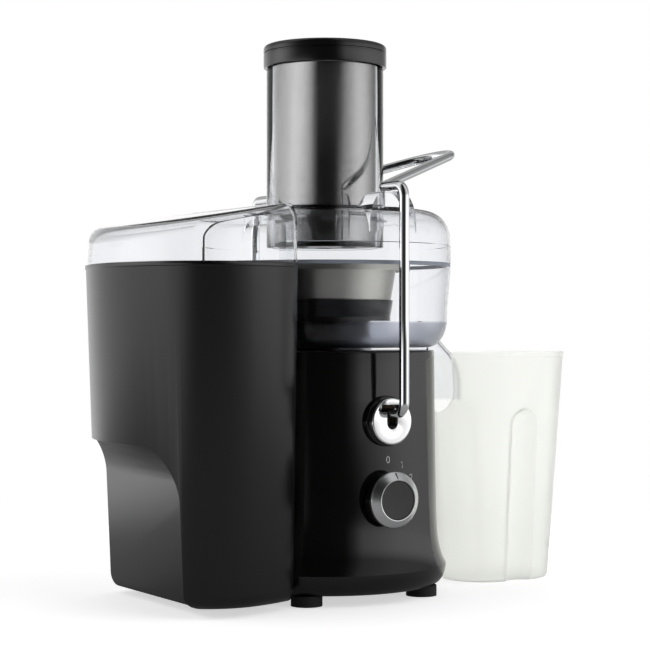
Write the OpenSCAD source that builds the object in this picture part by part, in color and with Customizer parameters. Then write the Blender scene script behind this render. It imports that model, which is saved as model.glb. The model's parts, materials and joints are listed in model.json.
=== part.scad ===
// Centrifugal juicer. Origin on the table below the drive axis.
// +Z up, -Y the control side, -X the pulp container, +X the spout and the jug.

/* [Motor body] */
// Radius of the motor body at its deck
body_r = 79.5; // [76:0.5:82]
// Height of the deck that the juice bowl sits on
deck_z = 176; // [170:1:182]
// Height of the seam between the housing and the base pan
seam_z = 22; // [20:0.5:26]
// How far the skirt flares out at the seam
flare = 6.6; // [3:0.2:8]
// Wall of the moulded casings
wall = 2.5; // [2:0.1:3]
// Radius of a foot
foot_r = 11; // [9:0.5:12]
// Height of the pan's underside above the table
foot_h = 7.5; // [6.5:0.5:8.5]
// Distance of the feet from the centre along X
foot_x = 48; // [44:1:50]
// Distance of the feet from the centre along Y
foot_y = 54; // [50:1:55]

/* [Bowl and lid] */
// Outer radius of the juice bowl at its rim
bowl_r = 91.6; // [90:0.2:93]
// Height of the bowl's rim
bowl_z = 236; // [232:1:240]
// Height of the lid's crown
lid_z = 276.5; // [272:0.5:282]
// Thickness of the silicone ring between the bowl and the lid
seal_t = 2.6; // [2:0.2:4]
// Outer radius of the feed chute
chute_r = 42.6; // [41:0.2:44]
// Wall of the feed chute
chute_wall = 4; // [3.5:0.1:4.5]
// Height of the chute's mouth
chute_z = 380.5; // [360:0.5:390]
// Height of the chute's lower end, above the cutter
chute_low_z = 250; // [246:0.5:254]
// Slope of the lid's wing over the pulp container, in degrees
wing_slope = 10.5; // [9:0.5:11.5]
// Outer radius of the spout
spout_r = 15; // [13:0.5:15.5]
// Distance of the spout's mouth from the drive axis
spout_x = 104; // [103:0.5:106]

/* [Pusher] */
// Outer radius of the pusher's steel sleeve
pusher_r = 37.2; // [35:0.1:37.6]
// Radius of the pusher's cap
cap_r = 44.8; // [44.6:0.1:47]
// Height of the pusher's cap
cap_h = 16.5; // [14:0.5:20]

/* [Locking arm] */
// Diameter of the arm's rod
rod_d = 7; // [6:0.1:7.4]
// Height of the arm's pivot above the table
pivot_z = 133.4; // [130:0.2:136]
// Distance of each leg of the arm out from the motor body
leg_out = 23.9; // [22:0.1:26]
// Height of the arm's cross stretches
cross_z = 290; // [289:0.5:293]
// Reach of the handle loop from the pivot plane
loop_reach = 105; // [98:1:108]
// Rise of the handle loop, in degrees
loop_rise = 17.4; // [12:0.2:20]

/* [Pivot discs and knob] */
// Radius of a pivot disc
disc_r = 16.2; // [15:0.2:17]
// Height of the disc's centre
disc_z = 127.5; // [126:0.5:129]
// Radius of the control knob
knob_r = 19.5; // [18:0.5:21]
// Height of the knob's centre
knob_z = 73.7; // [70:0.5:76]

/* [Pulp container] */
// Distance of the container's outer end from the drive axis, at its floor
bin_end = 168; // [163:1:171]
// Half width of the container at its floor
bin_half = 84; // [80:1:86]
// Height of the container's floor above the table
bin_z = 6; // [5.5:0.5:8]
// Growth of each side from the floor to the rim
bin_taper = 8; // [4:0.5:9]
// Depth of the finger scoop in the outer end
scoop_depth = 30; // [26:0.5:32]
// Height of the scoop's top
scoop_z = 114; // [104:1:118]
// Gap between the container and the motor body
bin_gap = 2; // [1.5:0.5:4]

/* [Jug] */
// Height of the jug
jug_h = 173.5; // [165:0.5:175]
// Radius of the jug's round ends at the rim
jug_top_r = 45; // [43:0.5:46]
// Radius of the jug's round ends at the floor
jug_floor_r = 33; // [30:0.5:36]
// Distance of the jug's near end circle from the drive axis
jug_x = 141; // [140:0.5:146]
// Distance between the jug's two end circles
jug_long = 22; // [18:1:26]
// Wall of the jug
jug_wall = 2; // [1.6:0.1:2.4]

/* [Filter basket] */
// Radius of the basket's cone at its foot
basket_low_r = 46; // [44:0.5:47]
// Radius of the basket's cone at its rim
basket_top_r = 52; // [50:0.5:56]
// Height of the cutter disc
cutter_z = 203; // [201:0.5:205]

/* [Motor] */
// Radius of the motor's shaft
shaft_r = 4; // [3.5:0.1:4.5]
// Radius of the armature core
armature_r = 25; // [23:0.5:26]
// Height of the underside of the stator core
stator_z = 72; // [70:1:74]
// Length of the stator core along the shaft
stator_h = 48; // [44:1:48]

/* [Hidden] */

// Fits: gap of a running fit, of parts that slide past each other, and of a seated part
fit = 0.05;
slide_gap = 0.4;
seat = 0.3;
round_fn = 96;
fine_fn = 48;
eps = 0.5;

// Motor body
side_draft = 0.012;
flare_len = 11;
skirt_r = body_r + draft_at(seam_z) + flare;
pan_in = 9;
pan_low_r = skirt_r - pan_in;
deck_hole_r = 12;
collar_r = 26;
collar_h = 8;
boss_r = 17.5;
boss_y = body_r + 3.9;
pan_screw_r = pan_low_r - 17;
pan_screw_l = 26;
pan_screw_turn = 30;
screw_head_r = 3.6;
screw_head_h = 2.6;
post_r = 5;
pilot_r = 1.7;
clear_r = 2.3;
housing_post_z = 27;
housing_post_h = 12;
gland_z = 52;
gland_r = 7;
gland_bore_r = 3.7;
gland_y = body_r + 4;
toe_w = 56;
toe_t = 2.6;
toe_reach = 20;
toe_root = 18;

// Motor
damper_h = 3;
damper_r = 7;
mount_r = body_r - 25.5;
mount_screw_l = 24;
mount_head_r = 4;
mount_head_h = 3;
plate_z = deck_z - 30;
plate_t = 4;
plate_r = mount_r + 8;
mount_post_z = plate_z + plate_t + damper_h;
stator_x = body_r - 37.5;
stator_y = body_r - 31.5;
corner_x = stator_x - 6;
corner_y = stator_y - 7;
bolt_r = 1.8;
air_gap = 0.6;
coil_t = 11;
coil_leg_x = 25;
coil_leg_w = 9;
coil_y = stator_y - 14;
coil_over = 9;
bearing_r = 11;
bearing_h = 7;
bearing_z = plate_z - 8;
low_bearing_z = 27;
low_plate_z = 40;
commutator_r = 13;
commutator_z = 46;
commutator_h = 15;
brush_w = 7;
brush_l = 14;
fan_r = 34;
fan_z = 129;
fan_h = 7;
shaft_low_z = 24;
shaft_top_z = deck_z + 16;
coupling_r = 15;
coupling_z = deck_z + 4;
coupling_h = 14;

// Bowl, lid and basket
bowl_low_r = bowl_r - 2.6;
bowl_turn_z = deck_z + 24;
bowl_turn_r = 14;
hub_wall = 2.5;
hub_r = collar_r + slide_gap + hub_wall;
hub_z = deck_z + 19;
seat_ring_w = 5;
lid_low_z = bowl_z + seal_t;
lid_side_z = lid_z - 20.5;
lid_round = 18.6;
ear_half = 19;
ear_top = 6;
ear_low_z = lid_z - 12.5;
ear_y = bowl_r - 19.6;
ear_out = bowl_r - 1.6;
ear_z = cross_z - rod_d / 2 - seat;
wing_in = 1.5;
shoulder_z = lid_z - 5.5;
shoulder_x = -75;
crown_rise = 6.5;
crown_in = 13;
spout_from_x = spout_x - 30;
spout_from_z = deck_z + 10;
spout_turn_z = deck_z - 18;
spout_low_z = deck_z - 38;
basket_t = 1.2;
basket_floor_z = cutter_z - 3;
basket_rim_z = bowl_z;
rim_r = basket_top_r + 10;
rim_t = 2.5;
cup_z = deck_z + 8;
cup_top_z = basket_floor_z + 12;
cup_t = 1.6;
foot_dimple_at = 20;
foot_dimple_r = 6;

// Arm, discs and knob
rod_r = rod_d / 2;
bend_r = 8;
leg_y = body_r + leg_out;
hook_neck = 4.4;
hook_rise = 7.4;
hook_w = 18;
hook_h = 5.2;
loop_y = 76.5;
loop_end_r = 30;
weld_l = 1.2;
disc_face_y = body_r + 9.5;
pin_in_y = body_r - 13.5;
bush_r = 6.5;
bush_in_y = body_r - 9;
cam_r = 6;
cam_lobe_r = 3;
cam_y = body_r - 12;
cam_w = 4;
lock_x = 29;
lock_long = 16;
lock_w = 6;
lock_h = 12;
plunger_r = 1.5;
plunger_l = 10;
knob_back_y = body_r + 1.8;
switch_y = body_r - 8;
switch_side = 26;
switch_deep = 17;
switch_neck_r = 5.5;
knob_bevel_y = body_r + 13;
knob_front_y = body_r + 17;
knob_face_r = 13.5;
knob_core_r = 18;
spindle_r = 3;

// Pulp container and jug
bin_high_r = bowl_r + bin_gap;
bin_low_r = skirt_r + bin_gap;
bin_step_z = deck_z - 10;
bin_corner_r = 48;
bin_edge_r = 9;
bin_inner_x = 11.5 - body_r;
bin_rim_z = bowl_z;
end_arc_r = 135;
side_arc_r = 140;
side_arc_x = -130;
slice = 0.1;
scoop_near_y = 66;
scoop_arch_w = 31;
scoop_arch_h = 38;
scoop_bend = 34;
scoop_face_z = 86;
scoop_draft = 2;
notch_half = 17.6;
notch_z = 128;
groove_r = 13;
groove_depth = 8;
groove_top_z = 118;
board_x = body_r - 17.5;
board_w = 48;
board_z = 30;
board_h = 30;
board_t = 1.6;
board_parts = [[-14, 8, 10, 14], [2, 12, 14, 9], [17, 5, 12, 7]];

function draft_at(z) = (deck_z - z) * side_draft;
function body_at(z) = body_r + draft_at(z) + flare * exp((seam_z - z) / flare_len);
function cone_at(z) = basket_low_r + (basket_top_r - basket_low_r) * (z - basket_floor_z)
    / (basket_rim_z - basket_floor_z);
function body_zs() = concat([for (i = [0 : 11]) seam_z + i * 4], [100, deck_z]);
function arc(cx, cz, rx, rz, from, to, n) =
    [for (i = [0 : n]) let (a = from + (to - from) * i / n) [cx + rx * cos(a), cz + rz * sin(a)]];

// A ring or tube of revolution about the drive axis
module tube(r_out, r_in, z, h) {
    translate([0, 0, z])
        difference() {
            cylinder(r = r_out, h = h, $fn = round_fn);
            translate([0, 0, -eps])
                cylinder(r = r_in, h = h + 2 * eps, $fn = round_fn);
        }
}

module rod_z(r, z, h) {
    translate([0, 0, z])
        cylinder(r = r, h = h, $fn = fine_fn);
}

// A cylinder along Y from y1 up to y2
module rod_y(r, y1, y2) {
    translate([0, y1, 0])
        rotate([-90, 0, 0])
            cylinder(r = r, h = y2 - y1, $fn = fine_fn);
}

module at_feet() {
    for (sx = [-1, 1])
        for (sy = [-1, 1])
            translate([sx * foot_x, sy * foot_y, 0])
                children();
}

module around(count, r, start = 0) {
    for (i = [0 : count - 1])
        rotate([0, 0, start + i * 360 / count])
            translate([r, 0, 0])
                children();
}

module at_corners() {
    for (sx = [-1, 1])
        for (sy = [-1, 1])
            translate([sx * corner_x, sy * corner_y, 0])
                children();
}

// Front and rear sides of the arm
module both_sides() {
    children();
    mirror([0, 1, 0])
        children();
}

// ---- Motor body ----

module housing_shell() {
    outer = [for (z = body_zs()) [body_at(z), z]];
    inner = [for (z = body_zs()) if (z < deck_z) [body_at(z) - wall, z]];
    top = [[0, deck_z], [0, deck_z - wall], [body_r - wall, deck_z - wall]];
    back = [for (i = [len(inner) - 1 : -1 : 0]) inner[i]];
    rotate_extrude($fn = round_fn)
        polygon(concat(outer, top, back));
}

module housing_post() {
    translate([pan_screw_r, 0, housing_post_z])
        cylinder(r = post_r, h = housing_post_h, $fn = fine_fn);
    translate([pan_screw_r, -wall / 2, housing_post_z])
        cube([body_at(housing_post_z) - pan_screw_r - wall / 2, wall, housing_post_h]);
}

module pivot_boss() {
    translate([0, 0, disc_z])
        rod_y(boss_r, -boss_y, -body_r + 6);
    translate([0, 0, pivot_z])
        rod_y(bush_r + wall, -body_r + 5, -bush_in_y + 0.5);
}

module housing() {
    color("#0c0b0b")
        difference() {
            union() {
                housing_shell();
                tube(collar_r, collar_r - wall, deck_z - eps, collar_h + eps);
                around(4, 0, pan_screw_turn)
                    housing_post();
                around(4, mount_r)
                    rod_z(post_r, mount_post_z, deck_z - wall - mount_post_z + eps);
                both_sides()
                    pivot_boss();
                translate([0, 0, knob_z])
                    rod_y(switch_neck_r + 3.5, -body_r, -switch_y - seat);
                translate([0, 0, gland_z])
                    rod_y(gland_r + 2, body_r - 2, gland_y);
                lock_shelf();
            }
            rod_z(deck_hole_r, deck_z - 2 * wall, 3 * wall);
            around(4, pan_screw_r, pan_screw_turn)
                rod_z(pilot_r, housing_post_z - eps, housing_post_h);
            around(4, mount_r)
                rod_z(pilot_r, mount_post_z - eps, deck_z - wall - mount_post_z);
            both_sides()
                translate([0, 0, pivot_z])
                    rod_y(bush_r, -boss_y - eps, -bush_in_y + 1);
            translate([0, 0, knob_z]) {
                rod_y(spindle_r + slide_gap, -body_r - 8, -body_r + 8);
                rod_y(switch_neck_r + slide_gap, -body_at(knob_z) + wall, -body_r + 12);
            }
            translate([0, 0, gland_z])
                rod_y(gland_r - wall, body_r - 8, gland_y + 1);
        }
}

// Shelf on the wall below the interlock switch
module lock_shelf() {
    shelf_z = pivot_z - lock_h / 2 - seat - wall;
    intersection() {
        translate([-lock_x, -body_r - 1, shelf_z])
            cube([lock_long, body_r + 1 - cam_y, wall]);
        rod_z(body_r - 1, shelf_z, wall);
    }
}

module base_pan() {
    outer = arc(pan_low_r, seam_z, pan_in, seam_z - foot_h, 0, -90, 10);
    inner = arc(pan_low_r, seam_z, pan_in - wall, seam_z - foot_h - wall, -90, 0, 10);
    toe_z = bin_z - seat - toe_t;
    color("#1a1a1a")
        difference() {
            union() {
                rotate_extrude($fn = round_fn)
                    polygon(concat(outer, [[0, foot_h], [0, foot_h + wall]], inner));
                around(4, pan_screw_r, pan_screw_turn)
                    rod_z(post_r, foot_h + wall - eps, housing_post_z - foot_h - wall + eps);
                translate([-pan_low_r - toe_reach, -toe_w / 2, toe_z])
                    cube([toe_reach + toe_root, toe_w, toe_t]);
                translate([-pan_low_r, -toe_w / 2, toe_z])
                    cube([toe_root, toe_w, foot_h + wall - toe_z]);
                board_posts();
            }
            around(4, pan_screw_r, pan_screw_turn)
                rod_z(clear_r, 0, housing_post_z + 1);
            around(4, pan_screw_r, pan_screw_turn)
                rod_z(post_r - 1, foot_h - 1, 5);
            around(10, 34)
                translate([-8, -1.5, foot_h - 1])
                    cube([16, 3, wall + 2]);
            at_feet()
                rod_z(foot_r - 4, foot_h - 1, wall + 2);
            translate([board_x - seat, -board_w / 2 - seat, board_z - seat])
                cube([board_t + 2 * seat, board_w + 2 * seat, board_h]);
        }
}

// Two slotted uprights that hold the control board by its ends
module board_posts() {
    post_w = 5;
    for (s = [-1, 1])
        translate([board_x - post_w / 2 + board_t / 2, s * board_w / 2 - post_w / 2, foot_h + wall - eps])
            cube([post_w, post_w, board_z + board_h - 8 - foot_h - wall]);
}

// Each foot's flange stops where the pan's floor starts to rise
module feet() {
    color("#161616") {
        at_feet() {
            rod_z(foot_r, 0, foot_h);
            rod_z(foot_r - 4 - fit, foot_h - eps, wall + eps);
        }
        intersection() {
            at_feet()
                rod_z(foot_r - 2, foot_h + wall, 1.5);
            rod_z(pan_low_r, foot_h, wall + 2);
        }
    }
}

module pan_screws() {
    color("#8d8f92")
        around(4, pan_screw_r, pan_screw_turn) {
            rod_z(screw_head_r, foot_h + 4 - screw_head_h, screw_head_h);
            rod_z(pilot_r - fit, foot_h + 4 - eps, pan_screw_l);
        }
}

module deck_seal() {
    color("#2a2a2c")
        difference() {
            union() {
                tube(deck_hole_r - fit, shaft_r + fit, deck_z - wall, wall);
                tube(deck_hole_r + 2.5, shaft_r + fit, deck_z, 1.6);
                tube(shaft_r + 2.2, shaft_r + fit, deck_z + 1, 1.8);
            }
            tube(shaft_r + 4.5, shaft_r + 2.8, deck_z - wall - 1, 2);
        }
}

module cord_gland() {
    color("#161616")
        translate([0, 0, gland_z])
            difference() {
                union() {
                    rod_y(gland_r - wall - fit, body_r - 5, gland_y + 1);
                    rod_y(gland_r, gland_y + seat, gland_y + 4);
                    rod_y(gland_r - 1.5, gland_y + 3, gland_y + 10);
                }
                rod_y(gland_bore_r, body_r - 6, gland_y + 11);
            }
}

// Black hook slot: a neck that opens into a cross slot at the top
module hook_slot(y1, y2) {
    translate([0, 0, disc_z - 1]) {
        rod_y(hook_neck, y1, y2);
        translate([-hook_neck, y1, 0])
            cube([2 * hook_neck, y2 - y1, hook_rise + hook_h / 2]);
        translate([-hook_w / 2, y1, hook_rise])
            cube([hook_w, y2 - y1, hook_h]);
    }
}

module pivot_disc() {
    color("#d9dadc")
        difference() {
            union() {
                translate([0, 0, disc_z])
                    rod_y(disc_r, -disc_face_y + 1, -boss_y);
                translate([0, 0, disc_z])
                    rod_y(disc_r - 1, -disc_face_y, -boss_y);
            }
            hook_slot(-disc_face_y - 1, -boss_y + 1);
        }
}

module front_pivot_disc() {
    pivot_disc();
}

module rear_pivot_disc() {
    mirror([0, 1, 0])
        pivot_disc();
}

module arm_bushes() {
    color("#c9b27a")
        both_sides()
            translate([0, 0, pivot_z])
                difference() {
                    rod_y(bush_r - fit, -boss_y + 0.2, -bush_in_y);
                    rod_y(rod_r + fit, -boss_y - 1, -bush_in_y + 1);
                }
}

// ---- Motor ----

module motor_dampers() {
    color("#222222")
        around(4, mount_r)
            tube(damper_r, clear_r, plate_z + plate_t, damper_h);
}

module mount_screws() {
    color("#8d8f92")
        around(4, mount_r) {
            rod_z(mount_head_r, plate_z - mount_head_h, mount_head_h);
            rod_z(pilot_r - fit, plate_z - eps, mount_screw_l);
        }
}

module upper_bracket() {
    leg_z = stator_z + stator_h;
    color("#a9abad")
        difference() {
            union() {
                rod_z(plate_r, plate_z, plate_t);
                rod_z(bearing_r + 3, bearing_z - 1, plate_z - bearing_z + 2);
                at_corners()
                    rod_z(post_r, leg_z, plate_z - leg_z + eps);
            }
            rod_z(bearing_r, bearing_z - 2, bearing_h + 2);
            rod_z(shaft_r + 2, plate_z - 4, 12);
            around(4, mount_r)
                rod_z(clear_r, plate_z - 1, plate_t + 2);
            at_corners()
                rod_z(bolt_r + fit, leg_z - 1, plate_z);
            around(4, 30, 45)
                rod_z(7, plate_z - 1, plate_t + 2);
        }
}

module lower_bracket() {
    color("#a9abad")
        difference() {
            union() {
                translate([-corner_x - 4, -corner_y - 4, low_plate_z - 4])
                    cube([2 * corner_x + 8, 2 * corner_y + 8, 4]);
                rod_z(bearing_r + 3, low_bearing_z, low_plate_z - low_bearing_z);
                at_corners()
                    rod_z(post_r, low_plate_z - eps, stator_z - low_plate_z + eps);
            }
            rod_z(bearing_r, low_bearing_z - 1, bearing_h + 1);
            rod_z(shaft_r + 2, low_bearing_z - 1, 20);
            at_corners()
                rod_z(bolt_r + fit, low_plate_z - 6, stator_z);
            around(4, 30, 45)
                rod_z(9, low_plate_z - 6, 8);
        }
}

module bearing(z) {
    color("#b9bbbe") {
        tube(bearing_r - fit, bearing_r - 2.4, z, bearing_h);
        tube(shaft_r + 2.4, shaft_r + fit, z, bearing_h);
        tube(bearing_r - 2, shaft_r + 2, z + 1, bearing_h - 2);
    }
}

module upper_bearing() {
    bearing(bearing_z);
}

module lower_bearing() {
    bearing(low_bearing_z);
}

module stator_core() {
    color("#5b5e63")
        translate([0, 0, stator_z])
            linear_extrude(stator_h)
                difference() {
                    intersection() {
                        square([2 * stator_x, 2 * stator_y], center = true);
                        circle(r = stator_y + 10, $fn = round_fn);
                    }
                    circle(r = armature_r + air_gap, $fn = round_fn);
                    for (sx = [-1, 1])
                        for (sy = [-1, 1])
                            translate([sx * coil_leg_x, sy * coil_y])
                                square([coil_leg_w + 1, coil_t + 1], center = true);
                    for (sx = [-1, 1])
                        for (sy = [-1, 1])
                            translate([sx * corner_x, sy * corner_y])
                                circle(r = bolt_r + fit, $fn = fine_fn);
                    for (sx = [-1, 1])
                        translate([sx * (armature_r + 3), 0])
                            square([10, 34], center = true);
                }
}

module field_coil() {
    outer_x = coil_leg_x + coil_leg_w / 2;
    inner_x = coil_leg_x - coil_leg_w / 2;
    color("#b5642c")
        difference() {
            translate([-outer_x, -coil_y - coil_t / 2, stator_z - coil_over])
                cube([2 * outer_x, coil_t, stator_h + 2 * coil_over]);
            translate([-inner_x, -coil_y - coil_t, stator_z - 1])
                cube([2 * inner_x, 2 * coil_t, stator_h + 2]);
        }
}

module front_field_coil() {
    field_coil();
}

module rear_field_coil() {
    mirror([0, 1, 0])
        field_coil();
}

module motor_bolts() {
    low = low_plate_z - 4;
    color("#8d8f92")
        at_corners() {
            rod_z(3.4, low - 2.6, 2.6);
            rod_z(bolt_r, low - eps, plate_z + plate_t - low + 2.6);
            tube(3.4, bolt_r, plate_z + plate_t, 2.2);
        }
}

module brush_holders() {
    mid_z = commutator_z + commutator_h / 2;
    color("#7a5a2e")
        for (s = [0, 180])
            rotate([0, 0, s])
                difference() {
                    union() {
                        translate([commutator_r + 4, -brush_w, mid_z - brush_w])
                            cube([brush_l + 4, 2 * brush_w, 2 * brush_w]);
                        translate([commutator_r + 6, -brush_w, low_plate_z])
                            cube([brush_l, 2 * brush_w, mid_z - low_plate_z]);
                    }
                    translate([commutator_r, -brush_w / 2 - fit, mid_z - brush_w / 2 - fit])
                        cube([brush_l + 4, brush_w + 2 * fit, brush_w + 2 * fit]);
                }
}

module brushes() {
    mid_z = commutator_z + commutator_h / 2;
    color("#303236")
        for (s = [0, 180])
            rotate([0, 0, s])
                translate([commutator_r + 0.2, -brush_w / 2, mid_z - brush_w / 2])
                    cube([brush_l, brush_w, brush_w]);
}

module motor_shaft() {
    color("#b9bbbe") {
        rod_z(shaft_r, shaft_low_z, shaft_top_z - shaft_low_z);
        translate([-shaft_r - 1.2, -1, coupling_z + 2])
            cube([2 * shaft_r + 2.4, 2, coupling_h - 6]);
    }
}

module armature_core() {
    color("#5b5e63")
        difference() {
            rod_z(armature_r, stator_z, stator_h);
            rod_z(shaft_r + fit, stator_z - 1, stator_h + 2);
            around(12, armature_r - 4)
                rod_z(2.2, stator_z - 1, stator_h + 2);
            around(12, armature_r)
                translate([-3, -0.8, stator_z - 1])
                    cube([6, 1.6, stator_h + 2]);
        }
}

module armature_coils() {
    color("#b5642c") {
        around(12, armature_r - 4)
            rod_z(2.1, stator_z - 3, stator_h + 6);
        tube(armature_r - 1.5, shaft_r + 4, stator_z + stator_h + 0.5, 8);
        tube(armature_r - 1.5, shaft_r + 4, stator_z - 8.5, 8);
    }
}

module commutator() {
    color("#c07a3e")
        difference() {
            rod_z(commutator_r, commutator_z, commutator_h);
            rod_z(shaft_r + fit, commutator_z - 1, commutator_h + 2);
            around(16, commutator_r)
                translate([-2, -0.3, commutator_z - 1])
                    cube([4, 0.6, commutator_h + 2]);
        }
}

module cooling_fan() {
    color("#26282b")
        difference() {
            union() {
                rod_z(fan_r, fan_z, 1.6);
                rod_z(shaft_r + 5, fan_z, fan_h);
                around(14, 20)
                    translate([-8, -0.8, fan_z + 1])
                        cube([20, 1.6, fan_h - 1.5]);
            }
            rod_z(shaft_r + fit, fan_z - 1, fan_h + 2);
        }
}

module drive_coupling() {
    color("#1c1c1e")
        difference() {
            union() {
                rod_z(coupling_r - 3, coupling_z, coupling_h);
                around(6, coupling_r - 4)
                    rod_z(3, coupling_z, coupling_h);
                rod_z(coupling_r + 1, coupling_z, 2.5);
            }
            rod_z(shaft_r + fit, coupling_z - 1, shaft_top_z - coupling_z + 1 + fit);
            translate([-shaft_r - 1.3, -1.1, coupling_z - 1])
                cube([2 * shaft_r + 2.6, 2.2, coupling_h - 3 + fit]);
        }
}

// ---- Controls ----

module rotary_switch() {
    half = switch_side / 2;
    color("#2b2d30")
        difference() {
            union() {
                translate([-half, -switch_y, knob_z - half])
                    cube([switch_side, switch_deep, switch_side]);
                translate([0, 0, knob_z])
                    rod_y(switch_neck_r, -body_at(knob_z) + wall + seat, -switch_y + eps);
                for (i = [-1 : 1])
                    translate([i * 7 - 1.2, -switch_y + switch_deep - eps, knob_z - 3])
                        cube([2.4, 4, 6]);
            }
            translate([0, 0, knob_z])
                rod_y(spindle_r + fit, -body_r, -switch_y + 10);
        }
}

module knob_spindle() {
    color("#e2e0d8")
        translate([0, 0, knob_z])
            rod_y(spindle_r, -knob_bevel_y + 3, -switch_y + 9);
}

module knob_core() {
    color("#0e0e0e")
        translate([0, 0, knob_z])
            difference() {
                union() {
                    rod_y(knob_core_r, -knob_bevel_y + 1, -knob_back_y);
                    rod_y(knob_face_r - fit, -knob_front_y + 2, -knob_bevel_y + 2);
                }
                rod_y(spindle_r + fit, -knob_bevel_y + 3 - fit, -knob_back_y + 1);
            }
}

module knob_ring() {
    face = [[knob_face_r, knob_front_y - 0.6], [knob_face_r + 0.6, knob_front_y],
        [knob_r - 0.5, knob_bevel_y], [knob_r, knob_bevel_y - 0.6], [knob_r, knob_bevel_y - 2.4],
        [knob_core_r + fit, knob_bevel_y - 2.4], [knob_core_r + fit, knob_bevel_y - 1],
        [knob_face_r, knob_bevel_y - 1]];
    color("#c4c5c7")
        translate([0, 0, knob_z])
            rotate([90, 0, 0])
                rotate_extrude($fn = round_fn)
                    polygon(face);
}

module knob_face() {
    color("#1b1b1c")
        translate([0, 0, knob_z])
            rod_y(knob_face_r - fit, -knob_front_y + 0.7, -knob_front_y + 2);
}

module control_board() {
    color("#1f5a35")
        translate([board_x, -board_w / 2, board_z])
            cube([board_t, board_w, board_h]);
    color("#1f5a35")
        for (part = board_parts)
            translate([board_x - part[3], part[0] - part[1] / 2, board_z + 8])
                cube([part[3] + eps, part[1], part[2]]);
}

module interlock_switch() {
    color("#2b2d30")
        difference() {
            translate([-lock_x, -cam_y - lock_w / 2, pivot_z - lock_h / 2])
                cube([lock_long, lock_w, lock_h]);
            translate([-lock_x + 5, -cam_y, pivot_z])
                rotate([0, 90, 0])
                    cylinder(r = plunger_r + fit, h = lock_long, $fn = fine_fn);
        }
}

module interlock_plunger() {
    tip = cam_r + cam_lobe_r + seat;
    color("#b5302a")
        translate([-tip - plunger_l, -cam_y, pivot_z])
            rotate([0, 90, 0])
                cylinder(r = plunger_r, h = plunger_l, $fn = fine_fn);
}

module arm_cam() {
    color("#d8d5cc")
        translate([0, 0, pivot_z])
            difference() {
                union() {
                    rod_y(cam_r, -cam_y - cam_w / 2, -cam_y + cam_w / 2);
                    translate([-cam_r, 0, 0])
                        rod_y(cam_lobe_r, -cam_y - cam_w / 2, -cam_y + cam_w / 2);
                }
                rod_y(rod_r + fit, -cam_y - cam_w, -cam_y + cam_w);
            }
}

// ---- Locking arm ----

// A quarter bend of the rod, from up (+Z) to along +X, with the bend's centre at the origin
module bend(angle) {
    rotate_extrude(angle = angle, $fn = fine_fn)
        translate([bend_r, 0])
            circle(r = rod_r, $fn = fine_fn);
}

module arm_side() {
    leg_low = pivot_z + bend_r;
    leg_top = cross_z - bend_r;
    translate([0, 0, pivot_z])
        rod_y(rod_r, -leg_y + bend_r, -pin_in_y);
    translate([0, -leg_y + bend_r, leg_low])
        rotate([90, 0, -90])
            rotate([0, 0, 270])
                bend(90);
    translate([0, -leg_y, 0])
        rod_z(rod_r, leg_low, leg_top - leg_low);
    translate([0, -leg_y + bend_r, leg_top])
        rotate([90, 0, -90])
            bend(90);
    translate([0, 0, cross_z])
        rod_y(rod_r, -leg_y + bend_r, -loop_y);
    translate([0, -loop_y, cross_z])
        rotate([90, 0, 0])
            sphere(r = rod_r + fit, $fn = fine_fn);
}

module arm_loop() {
    centre_x = loop_reach / cos(loop_rise) - loop_end_r;
    gap = norm([centre_x, loop_y]);
    reach = sqrt(gap * gap - loop_end_r * loop_end_r);
    turn = atan2(loop_y, centre_x) - asin(loop_end_r / gap);
    translate([0, 0, cross_z])
        rotate([0, -loop_rise, 0]) {
            for (s = [-1, 1])
                translate([0, s * loop_y, 0])
                    rotate([0, 0, -s * turn])
                        rotate([0, 90, 0]) {
                            cylinder(r = rod_r, h = reach, $fn = fine_fn);
                            translate([0, 0, reach - weld_l / 2])
                                cylinder(r = rod_r + fit, h = weld_l, $fn = fine_fn);
                        }
            translate([centre_x, 0, 0])
                rotate([0, 0, turn - 90])
                    rotate_extrude(angle = 180 - 2 * turn, $fn = round_fn)
                        translate([loop_end_r, 0])
                            circle(r = rod_r, $fn = fine_fn);
        }
}

module arm_rod() {
    color("#d9dadc") {
        both_sides()
            arm_side();
        arm_loop();
    }
}

// ---- Bowl, lid and basket ----

module bowl_solid(inset) {
    side = [[0, bowl_z + (inset > 0 ? 1 : 0)], [bowl_r - inset, bowl_z + (inset > 0 ? 1 : 0)],
        [bowl_low_r - inset, bowl_turn_z]];
    turn = arc(bowl_low_r - bowl_turn_r, bowl_turn_z, bowl_turn_r - inset,
        bowl_turn_z - deck_z - 2 - inset, -10, -90, 8);
    rotate_extrude($fn = round_fn)
        polygon(concat(side, turn, [[0, deck_z + 2 + inset]]));
}

// The spout: a slanted stub that turns straight down
module spout_body(r, low) {
    run = spout_x - spout_from_x;
    drop = spout_from_z - spout_turn_z;
    translate([spout_from_x, 0, spout_from_z])
        rotate([0, 90 + atan2(drop, run), 0])
            cylinder(r = r, h = norm([run, drop]), $fn = fine_fn);
    translate([spout_x, 0, spout_turn_z])
        sphere(r = r, $fn = fine_fn);
    translate([spout_x, 0, low])
        cylinder(r = r, h = spout_turn_z - low, $fn = fine_fn);
}

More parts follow.
